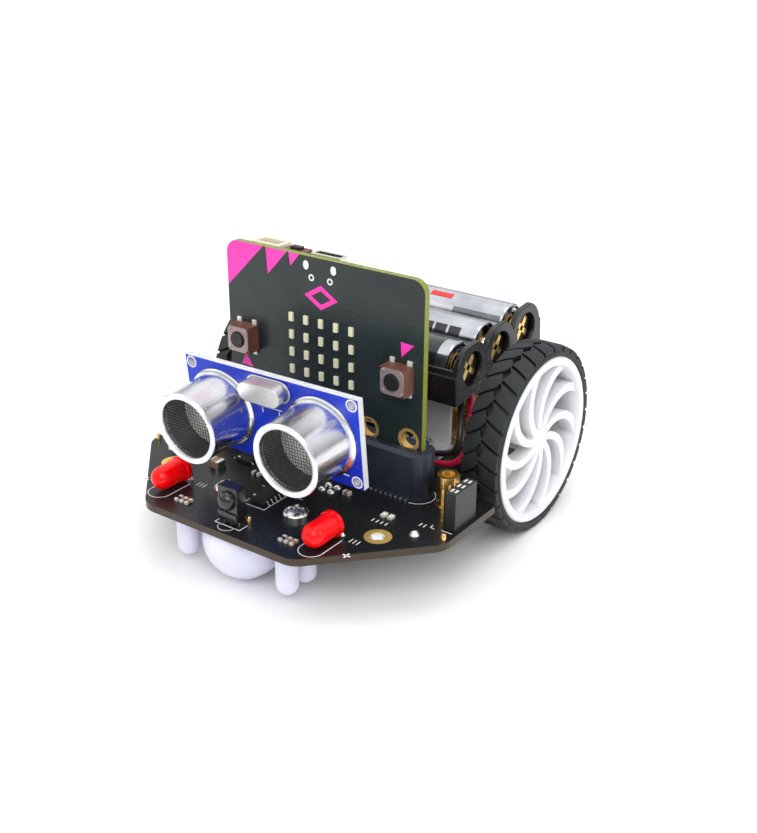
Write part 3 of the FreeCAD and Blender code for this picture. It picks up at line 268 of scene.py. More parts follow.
class Builder:
    """Collects solids in millimetres and turns them into one piece with its own materials."""

    def __init__(self, home=None):
        self.mesh = bmesh.new()
        self.home = home or Matrix.Identity(4)
        self.slots = []

    def add(self, points, faces, material, matrix=None, smooth=True):
        """Points in millimetres, and faces between them in one material."""
        matrix = matrix or Matrix.Identity(4)
        made = [self.mesh.verts.new(matrix @ Vector(p)) for p in points]
        if material not in self.slots:
            self.slots.append(material)
        slot = self.slots.index(material)
        for face in faces:
            polygon = self.mesh.faces.new([made[i] for i in face])
            polygon.material_index = slot
            polygon.smooth = smooth

    def box(self, low, high, material, matrix=None):
        (x0, y0, z0), (x1, y1, z1) = low, high
        self.prism([(x0, y0), (x1, y0), (x1, y1), (x0, y1)], z0, z1, material, matrix)

    def centred(self, centre, size, material, matrix=None):
        half = Vector(size) / 2
        self.box(Vector(centre) - half, Vector(centre) + half, material, matrix)

    def skin(self, points, rings, material, matrix=None, capped=True, smooth=True):
        """Faces from each ring of point numbers to the next; one of a single point is a tip."""
        ends = (tuple(rings[0])[::-1], tuple(rings[-1])) if capped else ()
        faces = [end for end in ends if len(end) > 2]
        for first, second in zip(rings, rings[1:]):
            steps = max(len(first), len(second))
            for k in range(steps if steps > 1 else 0):
                after = (k + 1) % steps
                corners = [first[k % len(first)], first[after % len(first)],
                           second[after % len(second)], second[k % len(second)]]
                faces.append(tuple(dict.fromkeys(corners)))
        self.add(points, faces, material, matrix, smooth)

    def lathe(self, profile, material, origin=(0, 0, 0), axis=(0, 0, 1), steps=48):
        """A solid of revolution: profile holds (radius, height) along the axis."""
        turn = Vector((0, 0, 1)).rotation_difference(Vector(axis)).to_matrix().to_4x4()
        points, rings = [], []
        for radius, height in profile:
            count = 1 if radius < 1e-6 else steps
            rings.append(range(len(points), len(points) + count))
            if count == 1:
                points.append((0, 0, height))
            else:
                points += [(x, y, height) for x, y in circle(radius, steps)]
        self.skin(points, rings, material, Matrix.Translation(origin) @ turn, capped=False)

    def ring(self, outer, inner, low, high, material, origin=(0, 0, 0), axis=(0, 0, 1),
             steps=48):
        """A tube between two radii."""
        profile = [(outer, low), (outer, high), (inner, high), (inner, low), (outer, low)]
        self.lathe(profile, material, origin, axis, steps)

    def prism(self, outline, low, high, material, matrix=None):
        """An outline in XY (counter-clockwise) extruded along Z."""
        count = len(outline)
        points = [(x, y, z) for z in (low, high) for x, y in outline]
        self.skin(points, (range(count), range(count, 2 * count)), material, matrix)

    def sweep(self, path, radius, material, steps=10):
        """A round tube along a list of points."""
        path = [Vector(point) for point in path]
        points, rings = [], []
        normal = None
        for i, here in enumerate(path):
            before, after = path[max(i - 1, 0)], path[min(i + 1, len(path) - 1)]
            tangent = (after - before).normalized()
            if normal is None:
                normal = tangent.orthogonal().normalized()
            normal = (normal - tangent * normal.dot(tangent)).normalized()
            side = tangent.cross(normal)
            rings.append(range(len(points), len(points) + steps))
            points += [here + normal * x + side * y for x, y in circle(radius, steps)]
        self.skin(points, rings, material)

    def piece(self, name, body="chassis", stands_for=(), bevel=0.0, sharp=38,
              segments=2):
        """One object of all that was added, riding a body and standing in for CAD nodes."""
        self.mesh.normal_update()
        bmesh.ops.recalc_face_normals(self.mesh, faces=self.mesh.faces[:])
        data = bpy.data.meshes.new(name)
        self.mesh.transform(Matrix.Scale(MM, 4) @ self.home)
        self.mesh.to_mesh(data)
        self.mesh.free()
        data.set_sharp_from_angle(angle=math.radians(sharp))
        for material in self.slots:
            data.materials.append(MATS[material])
        thing = put(name, data)
        if bevel:
            round_edges(thing, bevel, segments)
        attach(thing, body)
        if stands_for:
            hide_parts(*stands_for)


def round_edges(thing, width, segments=2):
    """A bevel on the edges that turn by more than 40 degrees."""
    modifier = thing.modifiers.new("rounding", "BEVEL")
    modifier.width = width * MM
    modifier.segments = segments
    modifier.limit_method = "ANGLE"
    modifier.angle_limit = math.radians(40)
    modifier.harden_normals = True


def dress(node, material, bevel=0.0):
    """Give a CAD node its finish, and round its edges a little where that helps."""
    thing = NODES[node]
    thing.data.materials.clear()
    thing.data.materials.append(MATS[material])
    if bevel:
        weld = thing.modifiers.new("weld", "WELD")
        weld.merge_threshold = 0.0005 * MM
        round_edges(thing, bevel)


# ---- camera, floor and light

def stage():
    """The camera solved from the photo, a pale floor, four soft lamps and a bright sky."""
    az, el, roll = math.radians(35.258), math.radians(24.445), math.radians(0.436)
    target, distance = Vector((2.861, 9.36, 21.639)), 272.234
    back = Vector((math.sin(az) * math.cos(el), -math.cos(az) * math.cos(el), math.sin(el)))
    right = Vector((math.cos(az), math.sin(az), 0))
    up = back.cross(right)
    turned_right = right * math.cos(roll) + up * math.sin(roll)
    turned_up = up * math.cos(roll) - right * math.sin(roll)
    camera_data = bpy.data.cameras.new("camera")
    camera_data.lens = 51.068
    camera_data.sensor_width = 36.0
    camera_data.clip_start = 0.01
    camera_data.clip_end = 20
    camera = put("camera", camera_data)
    basis = Matrix((turned_right, turned_up, back)).transposed().to_4x4()
    camera.matrix_world = Matrix.Translation((target + back * distance) * MM) @ basis
    bpy.context.scene.camera = camera

    floor_mesh = bpy.data.meshes.new("floor")
    floor_mesh.from_pydata([(-4, -4, 0), (4, -4, 0), (4, 4, 0), (-4, 4, 0)], [], [(0, 1, 2, 3)])
    floor = put("floor", floor_mesh)
    floor.data.materials.append(MATS["floor_paper"])

    world = bpy.data.worlds.new("studio")
    bpy.context.scene.world = world
    world.use_nodes = True
    sky = world.node_tree
    rise = new_node(sky, "SeparateXYZ", [(0, new_node(sky, "TexCoord").outputs["Generated"])])
    level = new_node(sky, "MapRange", [("From Max", 0.5), ("To Min", 0.3), ("To Max", 1.15),
                                       ("Value", rise.outputs["Z"])])
    sky.links.new(level.outputs[0], sky.nodes["Background"].inputs["Strength"])
    sky.nodes["Background"].inputs["Color"].default_value = (1, 1, 1, 1)

    def area(name, location, size, power, aim=(0, 0, 0.025)):
        data = bpy.data.lights.new(name, "AREA")
        data.shape = "RECTANGLE"
        data.size, data.size_y = size
        data.energy = power
        lamp = put(name, data)
        lamp.location = location
        way = Vector(location) - Vector(aim)
        lamp.rotation_mode = "QUATERNION"
        lamp.rotation_quaternion = way.to_track_quat("Z", "Y")

    area("key", (0.25, -0.45, 0.5), (0.35, 0.35), 1.35)
    area("fill", (-0.5, -0.25, 0.3), (0.4, 0.4), 0.25)
    area("side", (0.6, 0.1, 0.25), (0.3, 0.4), 0.45)
    area("top", (0.0, 0.1, 0.6), (0.5, 0.3), 0.55)
    bpy.context.scene.view_settings.view_transform = "Standard"
    bpy.context.scene.view_settings.look = "None"


# ---- tyres

def tread_blocks(builder, side):
    """Two rows of slanted blocks either side of a zigzag groove."""
    outer_x = TYRE_HIGH.x
    middle = (TYRE_LOW.x + outer_x) / 2
    count = 30
    step = 2 * math.pi / count
    zig = 1.1
    gap = 0.34
    low, high = TYRE_RAD - 1.4, TYRE_RAD
    slant = 0.5
    parts = 5
    for row in (-1, 1):
        for k in range(count):
            start = (k + (0.5 if row > 0 else 0.0)) * step

            def at(share, across, radius):
                """share runs along the block, across from the middle groove to the shoulder."""
                width = (outer_x - middle - 0.25) * across
                lean = slant * across * step
                wave = zig * (1 - abs(2 * share - 1)) - zig / 2
                inner = gap + row * wave * (1 - across)
                angle = start + (0.07 + 0.86 * share) * step + lean
                x = middle + row * (inner + width - gap * across)
                return (side * x, AXLE.y + radius * math.cos(angle),
                        AXLE.z + radius * math.sin(angle))

            points = []
            for radius in (low, high):
                for across in (0.0, 0.5, 1.0):
                    for j in range(parts + 1):
                        drop = 0.35 if (across == 1.0 and radius == high) else 0.0
                        points.append(at(j / parts, across, radius - drop))
            row_long, level = parts + 1, 3 * (parts + 1)
            faces = [(n, n + 1, n + row_long + 1, n + row_long)
                     for first in (level, level + row_long) for n in range(first, first + parts)]
            edges = [(n, n + 1) for j in range(parts) for n in (j, 2 * row_long + j)]
            edges += [(n, n + row_long) for n in (0, parts, row_long, row_long + parts)]
            faces += [(a, b, b + level, a + level) for a, b in edges]
            builder.add(points, faces, "tyre_rubber")


def tyre(name, side):
    """A tyre's body from its seat on the wheel outwards, with its tread."""
    builder = Builder()
    low_x, high_x = TYRE_LOW.x, TYRE_HIGH.x
    carcass = TYRE_RAD - 1.15
    seat = 18.5
    profile = [
        (seat, low_x + 0.5), (19.1, low_x + 0.12), (19.7, low_x), (20.1, low_x + 0.12),
        (carcass - 0.05, low_x + 0.4), (carcass, low_x + 0.8), (carcass, high_x - 0.8),
        (carcass - 0.05, high_x - 0.4), (20.1, high_x - 0.12), (19.7, high_x),
        (19.25, high_x - 0.05), (19.06, high_x - 0.3), (19.06, high_x - 1.6),
        (seat, high_x - 1.7), (seat, low_x + 0.5),
    ]
    profile = [(radius, side * height) for radius, height in profile]
    builder.lathe(profile, "tyre_rubber", (0, AXLE.y, AXLE.z), (1, 0, 0), 120)
    tread_blocks(builder, side)
    builder.piece("tyre_tread_" + name, "wheel_" + name, ["tyre_" + name],
                  bevel=0.1, sharp=30, segments=1)


# ---- batteries

def batteries():
    """Three cells: one in a black sleeve, one silver with black squares, one with a red mark."""
    half = CELL_LONG / 2
    rounding = 0.55
    for name, place, plus in (("front", -1, -1), ("middle", 0, 1), ("rear", 1, -1)):
        builder = Builder(HOLDER_HOME)
        y = place * CELL_PITCH
        origin = (0, y, CELL_AXIS_Z)

        def patch(start, end, low, high, material):
            """A printed field on the sleeve, or a band of painted dark reflection; angles run from
            the front (0) to the top (90).
            """
            print_rad = CELL_RAD + 0.025
            points, faces = [], []
            for k in range(9):
                angle = math.radians(low + (high - low) * k / 8)
                for x in (start, end):
                    points.append((x, y - print_rad * math.cos(angle),
                                   CELL_AXIS_Z + print_rad * math.sin(angle)))
            for k in range(8):
                faces.append((2 * k, 2 * k + 1, 2 * k + 3, 2 * k + 2))
            builder.add(points, faces, material)

        if name == "front":
            spans = [(-half, -half + 2.2, "jacket_silver"),
                     (-half + 2.2, half - 3.0, "jacket_black"),
                     (half - 3.0, half, "jacket_silver")]
        elif name == "middle":
            spans = [(-half, -4, "jacket_black"), (-4, half, "jacket_silver")]
            for start in (3.6, 7.2, 10.8, 14.4):
                patch(start, start + 3.0, 30, 56, "jacket_black")
            # A band of painted dark reflection on the middle cell's silver sleeve.
            patch(-4, half - 0.8, 0, 11, "jacket_painted_reflection")
        else:
            spans = [(-half, half, "jacket_silver")]
            patch(1.0, 7.0, 62, 80, "jacket_red")
            # A band of painted dark reflection on the rear cell's silver sleeve.
            patch(8.4, half - 0.8, 28, 44, "jacket_painted_reflection")
        for start, end, material in spans:
            low = start + (rounding if start == -half else 0)
            high = end - (rounding if end == half else 0)
            builder.lathe([(CELL_RAD, low), (CELL_RAD, high)], material, origin, (1, 0, 0), 56)
        for end in (1, -1):
            edge = [(CELL_RAD, half - rounding), (5.12, half - 0.25), (4.9, half - 0.06),
                    (4.6, half), (4.3, half - 0.12), (4.25, half - 0.3)]
            if end == plus:
                crown = [(2.3, half - 0.3), (2.0, half - 0.1), (1.8, half + 0.55),
                         (1.6, half + 0.75), (0, half + 0.78)]
            else:
                crown = [(3.6, half - 0.2), (3.4, half - 0.05), (0, half - 0.05)]
            profile = [(radius, end * height) for radius, height in edge + crown]
            builder.lathe(profile, "jacket_silver", origin, (1, 0, 0), 56)
        builder.piece("cell_" + name, "chassis", ["battery_cells"], sharp=30)


def contact_springs():
    """Plates in the end walls, with a coil spring or a pressed dome towards each cell."""
    builder = Builder(HOLDER_HOME)
    for place, plus in ((-1, -1), (0, 1), (1, -1)):
        y = place * CELL_PITCH
        for end in (1, -1):
            builder.centred((end * (HOLDER_WALL_X - 0.12), y, CELL_AXIS_Z - 0.2),
                            (0.22, 7.2, 7.3), "plate_dark")
            if end == plus:
                builder.lathe([(3.2, 0), (2.4, 0.75), (1.4, 1.3), (0, 1.4)], "gold_pad",
                              (end * (HOLDER_WALL_X - 0.25), y, CELL_AXIS_Z), (-end, 0, 0), 28)
            else:
                coil = []
                for k in range(49):
                    angle = 2 * math.pi * k / 16
                    reach = 2.9 - 0.9 * k / 48
                    coil.append((end * (HOLDER_WALL_X - 0.3 - 2.1 * k / 48),
                                 y + reach * math.cos(angle),
                                 CELL_AXIS_Z + reach * math.sin(angle)))
                builder.sweep(coil, 0.3, "gold_pad", 8)
            for angle in (45, 135):
                arm = (Matrix.Translation((end * (HOLDER_WALL_X + 0.06), y, CELL_AXIS_Z))
                       @ Matrix.Rotation(math.radians(angle), 4, "X"))
                builder.centred((0, 0, 0), (0.2, 6.0, 1.3), "gold", arm)
    builder.piece("cell_contacts", "chassis", ["battery_contacts"], bevel=0.06)


# ---- ultrasonic sensor

def sonar_cans():
    """Two flanged cans with a rolled mouth, a wall inside painted dark as shade in the recess, and
    the bright disc at its end.
    """
    builder = Builder(SONAR_HOME)
    floor = CAN_DEPTH - 6.8
    shell = [
        (8.75, 0.0), (8.75, 0.7), (8.5, 0.95), (7.95, 1.1), (7.85, CAN_DEPTH - 1.0),
        (7.98, CAN_DEPTH - 0.6), (7.98, CAN_DEPTH - 0.18), (7.8, CAN_DEPTH), (7.0, CAN_DEPTH),
        (6.62, CAN_DEPTH - 0.2), (CAN_MOUTH, CAN_DEPTH - 0.7), (CAN_MOUTH, CAN_DEPTH - 1.2),
    ]
    # The wall inside each can is painted near black as shade in the recess.
    wall = [(CAN_MOUTH, CAN_DEPTH - 1.2), (CAN_MOUTH, floor)]
    disc = [(CAN_MOUTH, floor), (0, floor)]
    cone = [(5.3, floor + 0.1), (2.0, floor + 1.1), (1.0, floor + 1.3), (0, floor + 1.3)]
    for side in (1, -1):
        for profile, material, steps in ((shell, "aluminium", 96), (wall, "can_wall_painted_shade", 96),
                                         (disc, "can_liner", 96), (cone, "can_liner", 64)):
            builder.lathe(profile, material, (side * CAN_X, 0, 0), (0, -1, 0), steps)
    builder.piece("sensor_cans", "chassis", ["sonar_cans"], sharp=32)


def sonar_gauze():
    """Woven wire over each can's mouth."""
    builder = Builder(SONAR_HOME)
    pitch = 0.7
    radius = CAN_MOUTH + 0.02
    level = 0.9 - CAN_DEPTH
    for side in (1, -1):
        cx = side * CAN_X
        count = int(radius / pitch)
        for k in range(-count, count + 1):
            offset = k * pitch
            reach = math.sqrt(max(radius ** 2 - offset ** 2, 0.01))
            runs = max(4, int(4 * reach / pitch))
            for way in (0, 1):
                points = []
                for j in range(runs + 1):
                    along = -reach + 2 * reach * j / runs
                    lift = 0.09 * math.cos(math.pi * (along / pitch + k + way))
                    if way == 0:
                        points.append((cx + along, level + lift, offset))
                    else:
                        points.append((cx + offset, level - lift, along))
                builder.sweep(points, 0.06, "gauze", 4)
    builder.piece("sensor_gauze", "chassis", ["sonar_meshes"], sharp=80)


def sonar_trim():
    """Printed marks, joints, chip parts and the resonator can of the sensor board."""
    builder = Builder(SONAR_HOME)
    for x in (-21.0, 21.0):
        for z in (-8.6, 8.6):
            builder.ring(1.34, 1.04, 0, 0.05, "silk", (x, 0, z), (0, -1, 0), 28)
    for x, z, wide, tall in ((-18.6, -7.6, 1.4, 0.25), (18.4, -7.6, 1.4, 0.25),
                             (18.0, -6.9, 0.25, 1.2), (-18.0, -6.9, 0.25, 1.2),
                             (0, 2.8, 6.0, 0.22), (-2.2, 1.9, 0.22, 1.2), (2.2, 1.9, 0.22, 1.2),
                             (0, -5.6, 9.0, 0.22)):
        builder.centred((x, -0.02, z), (wide, 0.04, tall), "silk")
    for i in range(4):
        builder.lathe([(0.85, 0), (0.75, 0.25), (0.4, 0.55), (0, 0.6)], "tin",
                      (0.3 + (i - 1.5) * 2.54, 0, -8.4), (0, -1, 0), 20)
    for x in (-CAN_X, CAN_X):
        for dx in (-4, 4):
            builder.lathe([(0.9, 0), (0.7, 0.3), (0.3, 0.6), (0, 0.65)], "tin",
                          (x + dx, 1.6, 0), (0, 1, 0), 20)
    for k in range(10):
        builder.centred((4.0 * k - 18, 1.85, 6.8 if k % 2 else -5.2), (1.0, 0.5, 0.6),
                        "ceramic")
    builder.piece("sensor_trim", "chassis")

    builder = Builder(SONAR_HOME)
    stand = Matrix.Translation((0, 0, 7.2)) @ Matrix.Rotation(math.radians(90), 4, "X")
    for radius, low, high in ((2.5, 0.02, 0.45), (2.15, 0.4, 3.45)):
        outline = (arc_points(3.35, 0, radius, -90, 90, 12)
                   + arc_points(-3.35, 0, radius, 90, 270, 12))
        builder.prism(outline, low, high, "can_steel", stand)
    builder.piece("resonator_can", "chassis", ["sonar_crystal"], bevel=0.22, segments=3)


# ---- screws, pins and lamps

def cross_head(builder, x, y, z, radius, high, up=1):
    """A domed screw head with a cross recess, as a polar grid."""
    rings, steps = 14, 48
    reach, arm = radius * 0.58, radius * 0.13
    points, loops = [(0, 0, high * 0.42)], [[0]]
    for i in range(1, rings + 1):
        share = i / rings
        loops.append(range(len(points), len(points) + steps))
        for px, py in circle(radius * share, steps):
            crown = high * math.sqrt(max(0.0, 1 - (share * 0.92) ** 2.6))
            if (abs(px) < arm and abs(py) < reach) or (abs(py) < arm and abs(px) < reach):
                crown -= high * 0.55 * (1 - math.hypot(px, py) / reach * 0.45)
            points.append((px, py, crown))
    loops.append(range(len(points), len(points) + steps))
    points += [(px, py, 0) for px, py in circle(radius, steps)]
    flip = Matrix.Rotation(0 if up > 0 else math.pi, 4, "X")
    place = Matrix.Translation((x, y, z)) @ flip @ Matrix.Rotation(0.5, 4, "Z")
    builder.skin(points, loops, "steel", place)


def shank(builder, x, y, top, bottom, radius):
    """A screw shank with the look of a thread."""
    profile = [(0, bottom), (radius * 0.8, bottom)]
    turns = max(4, int((top - bottom) / 0.5))
    for k in range(turns):
        low = bottom + (top - bottom) * k / turns
        profile += [(radius * 0.84, low), (radius, low + 0.25)]
    profile += [(radius * 0.84, top), (0, top)]
    builder.lathe(profile, "steel", (x, y, 0), (0, 0, 1), 24)


def screws():
    """The caster's, the brackets' and the posts' screws, one piece each."""
    under = BOARD_LOW.z
    builder = Builder()
    for x in (CASTER_SCREW_X, -CASTER_SCREW_X):
        cross_head(builder, x, CASTER_SCREW_Y, BOARD_TOP + 0.02, 2.75, 1.9)
        shank(builder, x, CASTER_SCREW_Y, BOARD_TOP, BOARD_TOP - 6, 1.4)
    builder.piece("caster_screw_set", "chassis", ["caster_screws"], sharp=30)
    builder = Builder()
    foot = BOARD_TOP + FOOT_THICK
    for x in (BRACKET_SCREW_X, -BRACKET_SCREW_X):
        for y in (AXLE.y + BRACKET_SCREW_REACH, AXLE.y - BRACKET_SCREW_REACH):
            cross_head(builder, x, y, foot + 0.02, 1.8, 1.3)
            shank(builder, x, y, foot, foot - 5.4, 0.92)
    builder.piece("bracket_screw_set", "chassis", ["bracket_screws"], sharp=30)
    builder = Builder()
    for side in (1, -1):
        for x, y in POST_PLACES:
            cross_head(builder, side * x, y, under - 0.02, 2.7, 1.8, -1)
            shank(builder, side * x, y, under + 4, under, 1.15)
    builder.piece("post_screw_set", "chassis", ["post_screws"], sharp=30)


def pins():
    """Square header pins with tapered tips, and the bright contacts inside the sockets."""
    builder = Builder()
    for x in (PORT_PIN_X, -PORT_PIN_X):
        for y in PORT_ROW:
            half = 0.32
            levels = ((BOARD_TOP - 2.6, 0.16), (BOARD_TOP - 2.2, half), (BOARD_TOP + 7.4, half),
                      (BOARD_TOP + 8.0, 0.15))
            points = [(x + dx * reach, y + dy * reach, z) for z, reach in levels
                      for dx, dy in ((-1, -1), (1, -1), (1, 1), (-1, 1))]
            rings = [range(n, n + 4) for n in (0, 4, 8, 12)]
            builder.skin(points, rings, "gold", smooth=False)
    builder.piece("gold_pins", "chassis", ["port_pins"], sharp=20)
    builder = Builder()
    socket_top = box_mm("port_sockets")[1].z
    for x in (PORT_SOCKET_X, -PORT_SOCKET_X):
        for y in PORT_ROW:
            for away in (-1, 1):
                builder.centred((x + away * 0.27, y, socket_top - 1.1), (0.12, 0.6, 2.2), "tin")
                builder.centred((x + away * 0.5, y, socket_top), (0.5, 1.3, 0.06), "solder_bright")
    builder.piece("socket_contacts", "chassis")


def headlights():
    """The two lamps, and the leads of the lamps and of the receiver."""
    builder = Builder()
    for side in (1, -1):
        x, z = side * LAMP_X, LAMP_Z
        profile = [(0, 0), (2.85, 0), (2.85, 0.95), (2.58, 1.05), (LAMP_RAD, LAMP_LONG)]
        profile += arc_points(0, LAMP_LONG, LAMP_RAD, 0, 90, 12)[1:]
        builder.lathe(profile, "red_lens", (x, LAMP_BACK, z), (0, -1, 0), 56)
    builder.piece("headlight_lenses", "chassis", ["headlight_leds"], sharp=40)
    builder = Builder()
    for side in (1, -1):
        x, z = side * LAMP_X, LAMP_Z
        builder.lathe([(0.5, 0.3), (1.2, 3.4), (1.1, 3.4), (0.5, 2.9), (0, 2.9)], "tin",
                      (x - 0.6, LAMP_BACK, z), (0, -1, 0), 20)
        for dx in (-1.27, 1.27):
            bend = LAMP_BACK + 1.3
            path = [(x + dx, LAMP_BACK, z), (x + dx, bend - 0.6, z),
                    (x + dx, bend - 0.15, z - 0.15), (x + dx, bend, z - 0.6),
                    (x + dx, bend, BOARD_TOP - 2.0)]
            builder.sweep(path, 0.28, "tin", 8)
            builder.lathe([(0.75, 0), (0.5, 0.25), (0.3, 0.6), (0, 0.6)], "tin",
                          (x + dx, bend, BOARD_TOP), (0, 0, 1), 18)
    for i in (-1, 0, 1):
        x, y = RECEIVER_X + i * 1.9, RECEIVER_FRONT + 1.5
        builder.sweep([(x, y, BOARD_TOP + 1.2), (x, y, BOARD_TOP - 2.0)], 0.25, "tin", 8)
    builder.piece("lamp_leads", "chassis", ["component_leads"])


def receiver():
    """The infrared receiver's shell with its domed window."""
    builder = Builder()
    x, y, base = RECEIVER_X, RECEIVER_FRONT, BOARD_TOP + 1.0
    builder.box((x - 2.55, y + 0.4, base), (x + 2.55, y + 3.3, base + 7.6), "lens_black")
    builder.box((x - 2.55, y, base), (x + 2.55, y + 0.4, base + 2.0), "lens_black")
    dome = [(2.15, 0), (2.12, 0.3)]
    dome += [(2.1 * a, 0.3 + 1.5 * b) for a, b in arc_points(0, 0, 1, 0, 90, 10)[1:]]
    builder.lathe(dome, "lens_black", (x, y + 0.4, base + 4.6), (0, -1, 0), 40)
    builder.piece("receiver_shell", "chassis", ["ir_receiver"], bevel=0.25)


# ---- small parts on the boards

# x, y, width, depth and height
SMALLS = (
    (13.4, -38.1, 0.9, 2.0, 0.6), (14.8, -38.1, 0.9, 2.0, 0.6), (16.2, -38.1, 0.9, 2.0, 0.6),
    (-14.9, -38.1, 0.9, 2.0, 0.6), (-13.5, -38.1, 0.9, 2.0, 0.6), (-12.1, -38.1, 0.9, 2.0, 0.6),
    (7.5, -15.6, 1.6, 0.8, 0.5), (12.5, -15.6, 1.8, 1.2, 0.9), (24.2, -18.5, 1.1, 1.6, 0.6),
    (25.9, -18.5, 1.1, 1.6, 0.6), (-19.0, -22.1, 3.4, 2.4, 1.8), (-9.0, -17.0, 2.0, 1.2, 0.8),
    (-9.0, -20.0, 2.0, 1.2, 0.8), (-24.0, -18.5, 0.8, 1.6, 0.6), (18.0, 33.0, 1.6, 0.8, 0.6),
    (21.0, 33.0, 1.6, 0.8, 0.6), (-18.0, 34.8, 2.6, 3.0, 1.8),
)


def small_components():
    """Chip resistors and capacitors with tinned ends."""
    builder = Builder()
    for number, (x, y, wide, deep, tall) in enumerate(SMALLS):
        body = "chip_epoxy" if number % 3 == 0 and tall < 1 else "ceramic"
        if abs(y + 18.5) < 0.1:
            body = "led_cream"
        tips = "solder_bright" if tall < 1 else "tin"
        turned = Matrix.Translation((x, y, BOARD_TOP + tall / 2))
        if deep >= wide:
            turned = turned @ Matrix.Rotation(math.radians(90), 4, "Z")
        long, across = max(wide, deep), min(wide, deep)
        share = 0.3
        builder.centred((0, 0, 0), (long * (1 - 2 * share), across * 0.96, tall * 0.97), body,
                        turned)
        for end in (1, -1):
            builder.centred((end * long * (0.5 - share / 2), 0, 0), (long * share, across, tall),
                            tips, turned)
    builder.piece("chip_parts", "chassis", ["small_components"], bevel=0.06)


# x, y, width, depth and height
CHIPS = (
    (-0.3, -26.6, 3.9, 6.6, 1.5), (-15.5, -15.5, 4.0, 4.0, 1.0), (-4.0, 4.5, 6.0, 4.4, 1.4),
    (-22.5, 1.8, 3.0, 5.0, 1.2),
)


def board_chips():
    """Chip bodies with a pin-one dot and bent legs."""
    builder = Builder()
    for x, y, wide, deep, tall in CHIPS:
        builder.centred((x, y, BOARD_TOP + 0.1 + tall / 2 - 0.05), (wide, deep, tall - 0.15),
                        "chip_epoxy")
        builder.lathe([(0.3, 0.0), (0.3, 0.02), (0, 0.02)], "silk",
                      (x - wide / 2 + 0.7, y - deep / 2 + 0.7, BOARD_TOP + tall), (0, 0, 1), 16)
        count = int(deep / 1.27)
        for i in range(count):
            foot_y = y + (i - (count - 1) / 2) * 1.27
            for end in (1, -1):
                edge = x + end * wide / 2
                path = [(edge - end * 0.1, foot_y, BOARD_TOP + tall * 0.55),
                        (edge + end * 0.35, foot_y, BOARD_TOP + tall * 0.5),
                        (edge + end * 0.5, foot_y, BOARD_TOP + 0.18),
                        (edge + end * 0.9, foot_y, BOARD_TOP + 0.15)]
                builder.sweep(path, 0.15, "tin", 6)
    builder.piece("chip_set", "chassis", ["board_chips"], bevel=0.08)


def arc_points(cx, cy, radius, start, end, count=24):
    """Points along an arc; the angles are in degrees."""
    return [(cx + radius * math.cos(math.radians(start + (end - start) * k / count)),
             cy + radius * math.sin(math.radians(start + (end - start) * k / count)))
            for k in range(count + 1)]


def flat_line(builder, points, width, z, place=Matrix.Identity(4)):
    """A printed line through flat points, one thin slab for each run."""
    for (ax, ay), (bx, by) in zip(points, points[1:]):
        length = math.hypot(bx - ax, by - ay)
        if length < 1e-6:
            continue
        run = (Matrix.Translation(((ax + bx) / 2, (ay + by) / 2, z))
               @ Matrix.Rotation(math.atan2(by - ay, bx - ax), 4, "Z"))
        builder.centred((0, 0, 0.015), (length + width * 0.5, width, 0.03), "silk", place @ run)


def studs(builder, profile, material, spots, way, steps):
    """The same turned shape at several spots."""
    for spot in spots:
        builder.lathe(profile, material, spot, way, steps)


